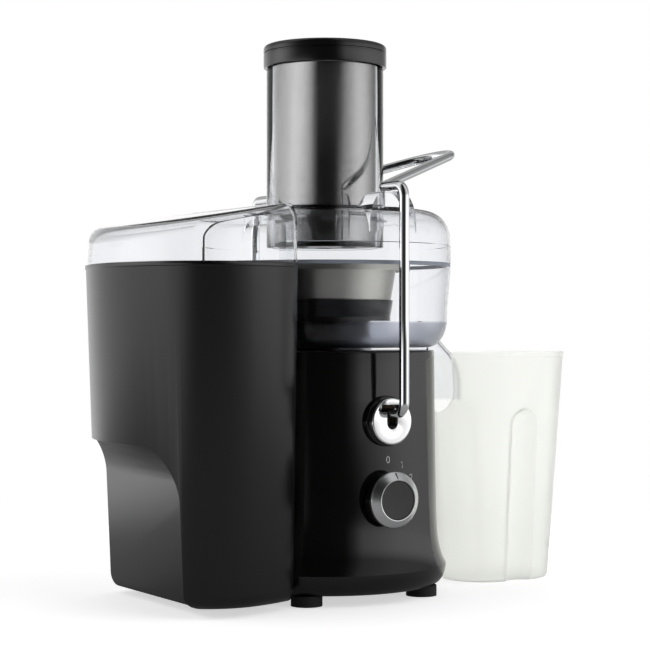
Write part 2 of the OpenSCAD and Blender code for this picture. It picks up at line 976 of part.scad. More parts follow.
module juice_bowl() {
    floor_z = deck_z + 2;
    color([0.86, 0.88, 0.9, 0.35])
        difference() {
            union() {
                difference() {
                    union() {
                        bowl_solid(0);
                        difference() {
                            spout_body(spout_r, spout_low_z);
                            rod_z(body_r + 1.5, 0, floor_z);
                        }
                    }
                    bowl_solid(wall);
                }
                rod_z(hub_r, floor_z, hub_z - floor_z);
                rod_z(hub_r + seat_ring_w, deck_z + seat, floor_z - deck_z);
            }
            rod_z(collar_r + slide_gap, deck_z, hub_z - deck_z + 1);
            difference() {
                spout_body(spout_r - wall, spout_low_z - 1);
                rod_z(body_r + 1.5 + wall, 0, floor_z + wall);
                rod_z(spout_from_x - 10, floor_z - 1, wall + 2);
            }
        }
}

module bowl_seal() {
    color("#8d90a3")
        tube(bowl_r - 0.4, bowl_r - 4, bowl_z, seal_t);
}

module lid_round(inset) {
    low = lid_low_z - (inset > 0 ? 1 : 0);
    top_r = bowl_r - lid_round;
    curve = arc(top_r, lid_side_z, lid_round - inset, lid_z - lid_side_z - inset, 0, 90, 8);
    rotate_extrude($fn = round_fn)
        polygon(concat([[0, low], [bowl_r - inset, low]], curve, [[0, lid_z - inset]]));
}

// Plan of the pulp container: a bowed end, bowed sides and rounded corners
module bin_plan(grow) {
    offset(r = bin_corner_r + grow, $fn = fine_fn)
        offset(delta = -bin_corner_r)
            intersection() {
                translate([end_arc_r - bin_end, 0])
                    circle(r = end_arc_r, $fn = 240);
                translate([side_arc_x, bin_half - side_arc_r])
                    circle(r = side_arc_r, $fn = 120);
                translate([side_arc_x, side_arc_r - bin_half])
                    circle(r = side_arc_r, $fn = 120);
            }
}

module wing_slice(inset, z) {
    translate([shoulder_x, 0, shoulder_z + z])
        rotate([0, -wing_slope, 0])
            translate([-shoulder_x, 0, 0])
                linear_extrude(slice)
                    bin_plan(bin_taper - wing_in - inset);
}

// Outer form of the wing over the container; the cavity is the same form set in by the wall
module wing_block(inset, low) {
    difference() {
        hull() {
            translate([0, 0, low])
                linear_extrude(slice)
                    bin_plan(bin_taper - wing_in - inset);
            wing_slice(inset, -inset);
            wing_slice(inset + 4, crown_rise * 0.7 - inset);
            wing_slice(inset + crown_in, crown_rise - inset);
        }
        translate([bin_inner_x - inset, -150, 0])
            cube([150, 300, 400]);
    }
}

module ear() {
    side = arc(ear_top, ear_low_z, ear_half - ear_top, ear_z - ear_low_z, 0, 90, 6);
    other = [for (i = [len(side) - 1 : -1 : 0]) [-side[i][0], side[i][1]]];
    foot = [[-ear_half, ear_low_z - 6], [ear_half, ear_low_z - 6]];
    translate([0, -ear_y, 0])
        rotate([90, 0, 0])
            linear_extrude(ear_out - ear_y)
                polygon(concat(side, other, foot));
}

module lid() {
    color([0.86, 0.88, 0.9, 0.35])
        difference() {
            union() {
                difference() {
                    union() {
                        lid_round(0);
                        difference() {
                            wing_block(0, bin_rim_z + seat);
                            rod_z(bowl_r + 0.6, bin_rim_z - 1, seal_t + 1 + fit);
                        }
                    }
                    lid_round(wall);
                    wing_block(wall, bin_rim_z - 1);
                }
                both_sides()
                    difference() {
                        ear();
                        lid_round(wall);
                    }
                rod_z(chute_r, chute_low_z, chute_z - chute_low_z);
            }
            rod_z(chute_r - chute_wall, chute_low_z - 1, chute_z - chute_low_z + 2);
        }
}

module basket_hub() {
    color("#141415")
        difference() {
            union() {
                rod_z(hub_r + 4, cup_z, basket_floor_z - cup_z);
                rotate_extrude($fn = round_fn)
                    polygon([[0, basket_floor_z - 3], [basket_low_r + fit + cup_t, basket_floor_z - 3],
                        [basket_low_r + fit + cup_t, basket_floor_z],
                        [cone_at(cup_top_z) + fit + cup_t, cup_top_z], [0, cup_top_z]]);
            }
            rotate_extrude($fn = round_fn)
                polygon([[0, basket_floor_z], [basket_low_r + fit, basket_floor_z],
                    [cone_at(cup_top_z) + fit, cup_top_z], [cone_at(cup_top_z) + fit, cup_top_z + 1],
                    [0, cup_top_z + 1]]);
            difference() {
                rod_z(hub_r + 1, cup_z - 1, hub_z + 2.5 - cup_z);
                rod_z(coupling_r + 4, cup_z - 2, 30);
            }
            rod_z(coupling_r + 1 + fit, cup_z - 1, coupling_z + coupling_h + fit - cup_z + 1);
        }
}

module cone_shell(r1, r2, z1, z2, t) {
    rotate_extrude($fn = round_fn)
        polygon([[r1, z1], [r2, z2], [r2 - t, z2], [r1 - t, z1]]);
}

module filter_basket() {
    color("#b8b7b2") {
        cone_shell(basket_low_r, basket_top_r, basket_floor_z, basket_rim_z, basket_t);
        tube(basket_low_r - 0.2, 38, basket_floor_z, 1);
    }
}

module basket_rim() {
    color("#b8b7b2") {
        tube(rim_r, basket_top_r - basket_t, basket_rim_z, rim_t);
        tube(rim_r, rim_r - 1.5, basket_rim_z - 3, 4);
    }
}

module cutter_disc() {
    tooth_z = cutter_z + 1;
    color("#c3c5c8") {
        rod_z(basket_low_r - 2, basket_floor_z + 1, cutter_z - basket_floor_z);
        for (ring = [1 : 5])
            around(6 * ring, 7 * ring, 9 * ring)
                translate([-0.6, -1.6, tooth_z - eps])
                    cube([1.2, 3.2, 1.2 + eps]);
    }
}

// ---- Pusher ----

module pusher_sleeve() {
    color("#b9bab8")
        tube(pusher_r, pusher_r - 1, chute_low_z + 4, chute_z - chute_low_z - 4);
}

module pusher_foot() {
    color("#202022")
        difference() {
            union() {
                rod_z(pusher_r, chute_low_z + 1, 3);
                tube(pusher_r - 1 - fit, pusher_r - 4, chute_low_z + 3.5, 12);
            }
            around(6, foot_dimple_at)
                rod_z(foot_dimple_r, chute_low_z, 2.4);
        }
}

module pusher_cap() {
    cap_z = chute_z + seat;
    groove_z = cap_z + cap_h - 6.5;
    edge = 3;
    color("#141415")
        union() {
            rotate_extrude($fn = round_fn)
                polygon(concat([[0, cap_z], [cap_r, cap_z], [cap_r, groove_z], [cap_r - 1, groove_z],
                    [cap_r - 1, groove_z + 1], [cap_r, groove_z + 1]],
                    arc(cap_r - edge, cap_z + cap_h - edge, edge, edge, 0, 90, 5), [[0, cap_z + cap_h]]));
            tube(pusher_r - 1 - fit, pusher_r - 4, cap_z - 12, 12 + eps);
        }
}

// ---- Pulp container and jug ----

module bin_slice(inset, z) {
    translate([0, 0, z])
        linear_extrude(slice)
            bin_plan(bin_taper * (z - bin_z) / (bin_rim_z - bin_z) - inset);
}

// The container's form with a rounded lower edge, cut off at its inner side
module bin_block(inset, low, high) {
    difference() {
        hull() {
            for (a = [0, 30, 60, 90])
                bin_slice(inset + bin_edge_r * (1 - sin(a)), low + bin_edge_r * (1 - cos(a)));
            bin_slice(inset, high - slice);
        }
        translate([bin_inner_x - inset, -150, 0])
            cube([150, 300, 400]);
        rod_z(bin_low_r + inset, 0, bin_step_z);
        rod_z(bin_high_r + inset, bin_step_z - inset, bin_rim_z);
    }
}

// The finger scoop: a pocket across the outer end that runs out at the far corner
module scoop_block(inset) {
    face_x = -bin_end + scoop_depth + inset;
    low_x = face_x + (scoop_face_z - bin_z) * tan(scoop_draft);
    cove = arc(face_x - scoop_bend, scoop_face_z, scoop_bend, scoop_bend + inset, 10, 80, 7);
    side = concat([[low_x, bin_z - 1], [face_x, scoop_face_z]], cove,
        [[-2 * bin_end, scoop_face_z + scoop_bend + inset], [-2 * bin_end, bin_z - 1]]);
    arch_y = scoop_arch_w - scoop_near_y;
    arch = concat([[bin_end, bin_z - 2], [bin_end, scoop_z + inset]],
        arc(arch_y, scoop_z - scoop_arch_h, scoop_arch_w + inset, scoop_arch_h + inset, 90, 180, 9),
        [[-scoop_near_y - inset, bin_z - 2]]);
    intersection() {
        translate([0, bin_end, 0])
            rotate([90, 0, 0])
                linear_extrude(2 * bin_end)
                    polygon(side);
        translate([-2 * bin_end, 0, 0])
            rotate([90, 0, 90])
                linear_extrude(1.5 * bin_end)
                    polygon(arch);
    }
}

module pulp_container() {
    color("#161616")
        difference() {
            bin_block(0, bin_z, bin_rim_z);
            scoop_block(0);
            difference() {
                bin_block(wall, bin_z + wall, bin_rim_z + 1);
                scoop_block(wall);
            }
        }
}

module jug_block(inset, low, high) {
    hull()
        for (x = [jug_x, jug_x + jug_long])
            translate([x, 0, low])
                cylinder(r1 = jug_floor_r - inset, r2 = jug_top_r - inset, h = high - low, $fn = round_fn);
}

// A finger groove down one side of the jug, round at its top
module jug_groove(grow) {
    lean = atan((jug_top_r - jug_floor_r) / jug_h);
    translate([jug_x + jug_long / 2, -jug_floor_r - groove_r + groove_depth, 0])
        rotate([lean, 0, 0]) {
            translate([0, 0, -10])
                cylinder(r = groove_r + grow, h = groove_top_z + 10, $fn = fine_fn);
            translate([0, 0, groove_top_z])
                sphere(r = groove_r + grow, $fn = fine_fn);
        }
}

module juice_jug() {
    color([0.93, 0.94, 0.92, 0.6])
        difference() {
            jug_block(0, 0, jug_h);
            both_sides()
                jug_groove(0);
            difference() {
                jug_block(jug_wall, jug_wall, jug_h + 0.5);
                both_sides()
                    jug_groove(jug_wall);
            }
            translate([jug_x - jug_top_r - 10, -notch_half, notch_z + notch_half])
                cube([jug_top_r, 2 * notch_half, jug_h]);
            translate([jug_x - jug_top_r - 10, 0, notch_z + notch_half])
                rotate([0, 90, 0])
                    cylinder(r = notch_half, h = jug_top_r, $fn = fine_fn);
        }
}

housing();
base_pan();
feet();
pan_screws();
deck_seal();
cord_gland();
front_pivot_disc();
rear_pivot_disc();
arm_bushes();
motor_dampers();
mount_screws();
upper_bracket();
lower_bracket();
upper_bearing();
lower_bearing();
stator_core();
front_field_coil();
rear_field_coil();
motor_bolts();
brush_holders();
brushes();
rotary_switch();
control_board();
interlock_switch();
juice_bowl();
bowl_seal();
lid();
motor_shaft();
armature_core();
armature_coils();
commutator();
cooling_fan();
drive_coupling();
basket_hub();
filter_basket();
basket_rim();
cutter_disc();
pusher_sleeve();
pusher_cap();
pusher_foot();
arm_rod();
arm_cam();
interlock_plunger();
knob_core();
knob_ring();
knob_face();
knob_spindle();
pulp_container();
juice_jug();
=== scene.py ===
"""Centrifugal juicer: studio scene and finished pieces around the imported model."""

import json
import math

import bpy
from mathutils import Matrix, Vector


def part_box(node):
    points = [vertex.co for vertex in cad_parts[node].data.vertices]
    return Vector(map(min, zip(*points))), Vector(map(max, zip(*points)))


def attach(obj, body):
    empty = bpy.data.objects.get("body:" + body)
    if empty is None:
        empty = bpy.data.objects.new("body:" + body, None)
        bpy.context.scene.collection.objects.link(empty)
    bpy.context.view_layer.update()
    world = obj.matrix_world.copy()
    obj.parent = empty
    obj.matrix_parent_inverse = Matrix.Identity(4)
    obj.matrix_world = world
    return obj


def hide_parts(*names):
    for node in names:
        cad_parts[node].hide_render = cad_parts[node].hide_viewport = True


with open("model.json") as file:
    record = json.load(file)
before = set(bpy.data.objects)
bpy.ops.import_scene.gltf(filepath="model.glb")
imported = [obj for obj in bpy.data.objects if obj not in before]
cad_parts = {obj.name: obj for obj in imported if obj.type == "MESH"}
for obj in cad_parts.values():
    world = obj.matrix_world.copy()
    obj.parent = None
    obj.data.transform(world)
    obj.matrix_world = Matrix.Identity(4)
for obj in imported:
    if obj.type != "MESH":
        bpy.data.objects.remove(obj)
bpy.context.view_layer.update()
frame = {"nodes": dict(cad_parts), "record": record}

MM = 0.001
FULL_TURN = 2 * math.pi
QUARTER_TURN = math.pi / 2
# Points nearer to each other than this, in mm, are one point
TOUCH = 0.002


# ---------------------------------------------------------------- shader sums


class Wire:
    """A shader socket that Python sums turn into Math nodes."""

    def __init__(self, finish, socket):
        self.finish, self.socket = finish, socket

    def math(self, operation, a, b=0.0):
        return self.finish.node("ShaderNodeMath", {"operation": operation}, {0: a, 1: b})

    def __add__(self, other):
        return self.math("ADD", self, other)

    def __rsub__(self, other):
        return self.math("SUBTRACT", other, self)

    def __mul__(self, other):
        return self.math("MULTIPLY", self, other)

    def __truediv__(self, other):
        return self.math("DIVIDE", self, other)

    def __pow__(self, other):
        return self.math("POWER", self, other)

    def __lt__(self, other):
        return self.math("LESS_THAN", self, other)

    def clamp(self):
        return self.finish.node("ShaderNodeClamp", {}, {0: self})


class Finish:
    """A material on one Principled shader; fixed values sit on its sockets."""

    def __init__(self, name, colour, roughness, metallic=0.0, **fixed):
        self.name = name
        self.material = bpy.data.materials.new(name)
        self.material.use_nodes = True
        self.tree = self.material.node_tree
        self.shader = self.tree.nodes["Principled BSDF"]
        self.fixed("Base Color", (*colour, 1.0))
        self.fixed("Roughness", roughness)
        self.fixed("Metallic", metallic)
        for socket, value in fixed.items():
            self.fixed(socket.replace("_", " "), value)
        self.material.diffuse_color = (*colour, 1.0)

    def fixed(self, socket, value):
        self.shader.inputs[socket].default_value = value

    def node(self, kind, settings, inputs, out=0):
        """Adds a node, sets it, links or fills its inputs and returns one output."""
        made = self.tree.nodes.new(kind)
        for key, value in settings.items():
            setattr(made, key, value)
        for key, value in inputs.items():
            if isinstance(value, Wire):
                self.tree.links.new(value.socket, made.inputs[key])
            else:
                made.inputs[key].default_value = value
        return Wire(self, made.outputs[out])

    def drive(self, socket, wire):
        self.tree.links.new(wire.socket, self.shader.inputs[socket])

    def place(self, scale=(1, 1, 1)):
        """Object coordinates, stretched along each axis."""
        raw = self.node("ShaderNodeTexCoord", {}, {}, "Object")
        return self.node("ShaderNodeMapping", {}, {0: raw, 3: scale})

    def axes(self, vector):
        return [self.node("ShaderNodeSeparateXYZ", {}, {0: vector}, axis) for axis in range(3)]

    def noise(self, vector, scale, detail=2.0, roughness=0.5):
        given = {"Vector": vector, "Scale": scale, "Detail": detail, "Roughness": roughness}
        return self.node("ShaderNodeTexNoise", {}, given)

    def mix(self, amount, none, full):
        """Colour none where amount is 0 and colour full where it is 1."""
        none, full = [c if isinstance(c, Wire) else (*c, 1.0) for c in (none, full)]
        return self.node("ShaderNodeMix", {"data_type": "RGBA"}, {0: amount, 6: none, 7: full}, 2)

    def spread(self, value, least, most):
        """Maps 0..1 to least..most."""
        return value * (most - least) + least

    def bump(self, height, strength, depth):
        given = {"Strength": strength, "Distance": depth, "Height": height}
        self.drive("Normal", self.node("ShaderNodeBump", {}, given))
        return self

    def grain(self, scale, strength, depth, smoothest, roughest):
        """A fine even moulding grain in the height and the roughness."""
        speck = self.noise(self.place(), scale, 3.0)
        self.drive("Roughness", self.spread(speck, smoothest, roughest))
        return self.bump(speck, strength, depth)


# ---------------------------------------------------------------- workshop


def object_mode():
    if bpy.context.object and bpy.context.object.mode != "OBJECT":
        bpy.ops.object.mode_set(mode="OBJECT")


def pick(piece):
    """Makes piece the only one selected."""
    fresh()
    piece.select_set(True)
    bpy.context.view_layer.objects.active = piece
    return piece


def fresh():
    """Nothing selected, no piece open."""
    object_mode()
    bpy.ops.object.select_all(action="DESELECT")


def add(name, primitive, **at):
    """Adds a primitive and opens it for editing, all selected."""
    fresh()
    primitive(**at)
    piece = bpy.context.object
    piece.name = piece.data.name = name
    bpy.ops.object.mode_set(mode="EDIT")
    return piece


def settle(piece):
    """Closes a piece and moves its place into its mesh."""
    pick(piece)
    bpy.ops.object.transform_apply(location=True, rotation=True, scale=True)
    return piece


def modify(piece, kind, **settings):
    """Adds a modifier and applies it."""
    pick(piece)
    made = piece.modifiers.new(kind.title(), kind)
    for key, value in settings.items():
        setattr(made, key, value)
    bpy.ops.object.modifier_apply(modifier=made.name)
    return piece


def combine(piece, other, operation):
    modify(piece, "BOOLEAN", object=other, operation=operation, solver="EXACT")
    bpy.data.objects.remove(other)
    return piece


def cut(piece, *tools):
    for tool in tools:
        combine(piece, tool, "DIFFERENCE")
    return piece


def join(piece, *others):
    for other in others:
        combine(piece, other, "UNION")
    return piece


def push(step):
    """Extrudes what is selected by a step in metres."""
    bpy.ops.mesh.extrude_region_move(TRANSFORM_OT_translate={"value": step})


def path(name, points, closed=False):
    """A chain of edges through points in mm, extruded one by one and left open for editing."""
    start = Vector(points[0]) * MM
    piece = add(name, bpy.ops.mesh.primitive_plane_add, size=MM, location=start)
    bpy.ops.mesh.merge(type="CENTER")
    for here, there in zip(points, points[1:]):
        push((Vector(there) - Vector(here)) * MM)
    bpy.ops.mesh.select_all(action="SELECT")
    if closed:
        bpy.ops.mesh.edge_face_add()
    return piece


def tidy_open():
    """Merges doubles and turns the faces of the piece being edited outwards."""
    bpy.ops.mesh.select_all(action="SELECT")
    bpy.ops.mesh.remove_doubles(threshold=TOUCH * MM)
    bpy.ops.mesh.normals_make_consistent(inside=False)


def lathe(name, outline, steps=128, centre=(0, 0, 0), turn=(0, 0, 0)):
    """Spins an outline of (radius, height) in mm about its own upright axis, then turns and
    places it. An outline that starts and ends on the axis stays open there, and any other is
    closed."""
    loop = [(r, 0, z) for r, z in outline]
    on_axis = outline[0][0] == 0 and outline[-1][0] == 0
    piece = path(name, loop if on_axis else loop + loop[:1])
    bpy.ops.mesh.remove_doubles(threshold=TOUCH / 2 * MM)
    bpy.ops.mesh.spin(steps=steps, angle=FULL_TURN, center=(0, 0, 0), axis=(0, 0, 1))
    tidy_open()
    settle(piece)
    piece.rotation_euler = turn
    piece.location = Vector(centre) * MM
    return settle(piece)


def prism(name, outline, axis, start, end):
    """A closed outline in mm, extruded along an axis. It lies in the XZ plane for axis Y and in
    the YZ plane for axis X."""
    place = {"Y": lambda a, b: (a, start, b), "X": lambda a, b: (start, a, b)}[axis]
    step = {"Y": (0, (end - start) * MM, 0), "X": ((end - start) * MM, 0, 0)}[axis]
    piece = path(name, [place(a, b) for a, b in outline], closed=True)
    push(step)
    tidy_open()
    return settle(piece)


def arc(cx, cz, rx, rz, start, end, count):
    """Points along part of an ellipse, in degrees."""
    steps = [math.radians(start + (end - start) * i / count) for i in range(count + 1)]
    return [(cx + rx * math.cos(a), cz + rz * math.sin(a)) for a in steps]


def rod(name, r, start, end, axis="Z", at=(0, 0), steps=64):
    """A plain cutting rod between two places along an axis, in mm."""
    middle, length = (start + end) / 2, abs(end - start)
    a, b = at
    place, turn = {
        "Z": ((a, b, middle), (0, 0, 0)),
        "Y": ((a, middle, b), (QUARTER_TURN, 0, 0)),
        "X": ((middle, a, b), (0, QUARTER_TURN, 0)),
    }[axis]
    piece = add(
        name, bpy.ops.mesh.primitive_cylinder_add, vertices=steps, radius=r * MM,
        depth=length * MM, location=Vector(place) * MM, rotation=turn,
    )
    return settle(piece)


def block(name, corner, far_corner):
    """A plain cutting box between two corners, in mm."""
    near, far = Vector(corner), Vector(far_corner)
    piece = add(name, bpy.ops.mesh.primitive_cube_add, size=1, location=(near + far) / 2 * MM)
    bpy.ops.transform.resize(value=(far - near) * MM)
    return settle(piece)


def sweep(name, points, r, sides=12):
    """A round solid bar along points in mm, with flat closed ends."""
    settle(path(name, points))
    bpy.ops.object.convert(target="CURVE")
    curve = bpy.context.object
    curve.data.bevel_depth = r * MM
    curve.data.bevel_resolution = sides
    curve.data.use_fill_caps = True
    bpy.ops.object.convert(target="MESH")
    piece = bpy.context.object
    piece.name = piece.data.name = name
    bpy.ops.object.mode_set(mode="EDIT")
    tidy_open()
    return settle(piece)


def corner_bend(before, corner, after, r, count=8):
    """Points of a bend of radius r where two straight runs meet."""
    before, corner, after = Vector(before), Vector(corner), Vector(after)
    back, on = (before - corner).normalized(), (after - corner).normalized()
    half = back.angle(on) / 2
    reach = r / math.tan(half)
    centre = corner + (back + on).normalized() * (r / math.sin(half))
    start, end = corner + back * reach - centre, corner + on * reach - centre
    start, end = start.normalized(), end.normalized()
    return [centre + start.slerp(end, i / count) * r for i in range(count + 1)]


def soften(piece, width, angle=30, segments=3):
    """Rounds the edges sharper than angle, then shades the piece smooth."""
    modify(
        piece, "BEVEL", width=width * MM, segments=segments, limit_method="ANGLE",
        angle_limit=math.radians(angle), use_clamp_overlap=True,
    )
    return smooth(piece)


def smooth(piece, angle=32):
    pick(piece)
    bpy.ops.object.shade_smooth_by_angle(angle=math.radians(angle))
    return piece


def mirrored(piece, name):
    """A copy of piece on the other side of the Y = 0 plane, with its own mesh."""
    pick(piece)
    bpy.ops.object.duplicate()
    twin = bpy.context.object
    twin.data = twin.data.copy()
    twin.name = twin.data.name = name
    twin.scale = (1, -1, 1)
    settle(twin)
    bpy.ops.object.mode_set(mode="EDIT")
    tidy_open()
    object_mode()
    return twin


def finish_piece(piece, finish, body, slot, *replaced):
    """Gives a piece its finish and its body, and hides the nodes that it stands for. Its slot is
    not used.
    """
    piece.data.materials.clear()
    piece.data.materials.append(finish.material)
    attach(piece, body)
    if replaced:
        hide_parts(*replaced)
    return piece


def low_corner(node):
    """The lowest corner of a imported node's box, in mm."""
    return [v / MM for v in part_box(node)[0]]


def high_corner(node):
    """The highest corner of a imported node's box, in mm."""
    return [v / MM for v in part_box(node)[1]]


def lerp(a, b, t):
    return a + (b - a) * t


# ---------------------------------------------------------------- finishes

gloss_black = Finish("gloss_black", (0.004, 0.0038, 0.0036), 0.09, Specular_IOR_Level=0.5)
haze = gloss_black.noise(gloss_black.place(), 9.0, 2.0)
gloss_black.drive("Roughness", gloss_black.spread(haze, 0.06, 0.13))
gloss_black.bump(gloss_black.noise(gloss_black.place(), 34.0, 1.0), 0.25, 0.00012)

matte_black = Finish("matte_black", (0.003, 0.003, 0.0031), 0.23, Specular_IOR_Level=0.52)
matte_black.grain(1500.0, 0.2, 0.00004, 0.2, 0.26)

satin_black = Finish("satin_black", (0.005, 0.005, 0.0052), 0.16, Specular_IOR_Level=0.6)
satin_black.grain(700.0, 0.04, 0.00002, 0.14, 0.2)

rubber_black = Finish("rubber_black", (0.012, 0.012, 0.012), 0.7)
rubber_black.grain(700.0, 0.4, 0.0001, 0.62, 0.8)

# Clear plastic: a low index keeps what is behind it in its place, and it darkens edge on, partly
# its own tint and partly painted shade for its dark outlines
CLEAR_IOR, EDGE_FALL = 1.12, 4.0
FACE_ON = (0.93, 0.937, 0.95)


def clear_plastic(name, colour):
    return Finish(name, colour, 0.0, Transmission_Weight=1.0, IOR=CLEAR_IOR,
                  Coat_Weight=0.3, Coat_Roughness=0.03)


def edge_on_tint_and_shade(finish, edge):
    """FACE_ON where the surface faces the eye, and edge where it turns away: partly the plastic's
    own tint, partly painted shade for its dark outlines.
    """
    turned = finish.node("ShaderNodeLayerWeight", {}, {0: 0.5}, "Facing") ** EDGE_FALL
    return finish.mix(turned.clamp(), FACE_ON, edge)


clear = clear_plastic("clear", (0.95, 0.955, 0.96))
# The lid darkens edge on, partly its own tint and partly painted shade.
clear.drive("Base Color", edge_on_tint_and_shade(clear, (0.8, 0.815, 0.85)))

# The jug's frosted plastic. Its emission is painted light: a faint glow that brightens the jug
# though it is no lamp.
frosted = Finish("frosted", (0.97, 0.975, 0.96), 0.35, Transmission_Weight=0.85, IOR=1.2,
                 Emission_Strength=1.0)
frosted.fixed("Emission Color", (0.07, 0.071, 0.065, 1.0))
frosted.grain(1300.0, 0.25, 0.00005, 0.3, 0.4)

# A dark clear finish that paints shade: the chute's root wears it as a dark ring along the top of
# the lid.
painted_root_shade = Finish("painted_root_shade", (0.2, 0.22, 0.27), 0.05, Transmission_Weight=1.0, IOR=CLEAR_IOR)
cloud = painted_root_shade.noise(painted_root_shade.place(), 20.0, 2.0)
painted_root_shade.drive("Roughness", painted_root_shade.spread(cloud, 0.02, 0.08))

# The bowl is frosted below a line, but not on its spout; lengths in metres
FROST_TOP, FROST_FADE, SPOUT_FROM = 0.197, 0.0015, 0.0795
FROST_COLOUR, FROST_ROUGHNESS = (0.6, 0.62, 0.68), 0.35
bowl_clear = clear_plastic("bowl_clear", FACE_ON)
bowl_at = bowl_clear.axes(bowl_clear.place())
frost = ((FROST_TOP - bowl_at[2]) / FROST_FADE).clamp() * (bowl_at[0] < SPOUT_FROM)
# Above the frost the bowl darkens edge on, partly its own tint and partly painted shade.
see_through = edge_on_tint_and_shade(bowl_clear, (0.55, 0.58, 0.64))
bowl_clear.drive("Base Color", bowl_clear.mix(frost, see_through, FROST_COLOUR))
bowl_clear.drive("Roughness", frost * FROST_ROUGHNESS)

seal_grey = Finish("seal_grey", (0.32, 0.35, 0.42), 0.4, Transmission_Weight=0.3, IOR=1.4)
seal_grey.grain(600.0, 0.2, 0.00005, 0.35, 0.5)

chrome = Finish("chrome", (0.86, 0.87, 0.88), 0.05, 1.0)
polish = chrome.noise(chrome.place(), 30.0, 2.0)
chrome.drive("Roughness", chrome.spread(polish, 0.03, 0.07))


def brushed(name, colour, smoothest, roughest, scale, depth, relief=0.35):
    """Metal with fine lines drawn along the axis whose scale is small."""
    metal = Finish(name, colour, smoothest, 1.0)
    lines = metal.noise(metal.place(scale), 1.0, 3.0, 0.6)
    metal.drive("Roughness", metal.spread(lines, smoothest, roughest))
    return metal.bump(lines, relief, depth)


def moulded(name, colour, smoothest, roughest):
    return Finish(name, colour, smoothest).grain(800.0, 0.2, 0.00005, smoothest, roughest)


steel = brushed("steel", (0.44, 0.432, 0.42), 0.07, 0.13, (900, 900, 9), 0.00001, 0.06)
basket_steel = brushed(
    "basket_steel", (0.52, 0.51, 0.475), 0.3, 0.42, (300, 300, 1500), 0.00003)
satin_silver = brushed(
    "satin_silver", (0.66, 0.67, 0.68), 0.24, 0.36, (1200, 1200, 1200), 0.00003)
bearing_steel = brushed(
    "bearing_steel", (0.5, 0.5, 0.51), 0.18, 0.3, (40, 40, 1500), 0.00002)
cast_aluminium = brushed(
    "cast_aluminium", (0.6, 0.6, 0.6), 0.42, 0.6, (260, 260, 260), 0.0001)
laminations = brushed(
    "laminations", (0.22, 0.22, 0.24), 0.4, 0.55, (20, 20, 2000), 0.0001)
copper = brushed("copper", (0.72, 0.32, 0.14), 0.3, 0.45, (500, 500, 1800), 0.0002)
commutator_copper = brushed(
    "commutator_copper", (0.7, 0.34, 0.18), 0.2, 0.35, (30, 30, 1500), 0.00004)
bush_brass = brushed(
    "bush_brass", (0.03, 0.024, 0.017), 0.4, 0.55, (500, 40, 500), 0.00003)
mirror_steel = brushed(
    "mirror_steel", (0.9, 0.9, 0.91), 0.1, 0.18, (700, 700, 700), 0.00001)
ring_silver = brushed(
    "ring_silver", (0.8, 0.81, 0.82), 0.24, 0.36, (1200, 1200, 1200), 0.00003)
carbon = moulded("carbon", (0.02, 0.02, 0.022), 0.45, 0.6)
brown_plastic = moulded("brown_plastic", (0.16, 0.07, 0.03), 0.35, 0.5)
white_plastic = moulded("white_plastic", (0.72, 0.71, 0.66), 0.4, 0.5)
red_plastic = moulded("red_plastic", (0.5, 0.03, 0.02), 0.35, 0.45)
board_green = moulded("board_green", (0.03, 0.16, 0.06), 0.3, 0.45)
knob_grey = moulded("knob_grey", (0.018, 0.0175, 0.017), 0.3, 0.42)
mark_grey = moulded("mark_grey", (0.62, 0.63, 0.64), 0.4, 0.5)

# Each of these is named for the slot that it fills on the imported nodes
SLOT_FINISHES = {finish.name: finish for finish in (
    gloss_black, matte_black, rubber_black, clear, frosted, seal_grey, chrome, satin_silver,
    steel, bearing_steel, cast_aluminium, laminations, copper, commutator_copper, carbon,
    brown_plastic, white_plastic, red_plastic, bush_brass, board_green,
)}
OWN_FINISHES = {"filter_basket": basket_steel, "basket_rim": basket_steel}

for part in frame["record"]["subparts"]:
    finish = OWN_FINISHES.get(part["node"], SLOT_FINISHES[part["material_slot"]])
    materials = frame["nodes"][part["node"]].data.materials
    for index in range(len(materials)):
        materials[index] = finish.material


# ---------------------------------------------------------------- pulp container

WALL, BODY_R = 2.5, 79.5
SKIRT_R = high_corner("housing")[0]
BOWL_R = high_corner("juice_bowl")[1]
BIN_FLOOR = low_corner("pulp_container")[2]
BIN_RIM = high_corner("pulp_container")[2]
# How much wider the container is at its rim than at its floor
BIN_GROWTH = 8.0
BIN_END = -low_corner("pulp_container")[0] - BIN_GROWTH
BIN_HALF, BIN_INNER, BIN_GAP, BIN_STEP = 84.0, -68.0, 2.0, 166.0
END_ARC, SIDE_ARC, SIDE_ARC_X = 135.0, 140.0, -130.0
BIN_CORNER, BIN_EDGE, BIN_ROUNDING = 48.0, 9.0, 0.7
LIP, LIP_RISE, LIP_UNDER, LIP_TURN, LIP_ROOT = 0.5, 2.6, 0.6, 0.4, 0.1
SCOOP_DEPTH, SCOOP_FACE, SCOOP_BEND, SCOOP_DRAFT = 30.0, 86.0, 34.0, 2.0
ARCH_TOP, ARCH_NEAR, ARCH_WIDE, ARCH_RISE = 114.0, 66.0, 31.0, 38.0


def meeting(x1, y1, r1, x2, y2, r2):
    """The upper point where two circles cross."""
    gap = math.hypot(x2 - x1, y2 - y1)
    along = (gap ** 2 + r1 ** 2 - r2 ** 2) / (2 * gap)
    off = math.sqrt(r1 ** 2 - along ** 2)
    ux, uy = (x2 - x1) / gap, (y2 - y1) / gap
    crossings = [(x1 + along * ux - k * off * uy, y1 + along * uy + k * off * ux) for k in (-1, 1)]
    return max(crossings, key=lambda p: p[1])


SIDE_Y, END_X = BIN_HALF - SIDE_ARC, END_ARC - BIN_END
CORNER_X, CORNER_Y = meeting(
    END_X, 0, END_ARC - BIN_CORNER, SIDE_ARC_X, SIDE_Y, SIDE_ARC - BIN_CORNER
)


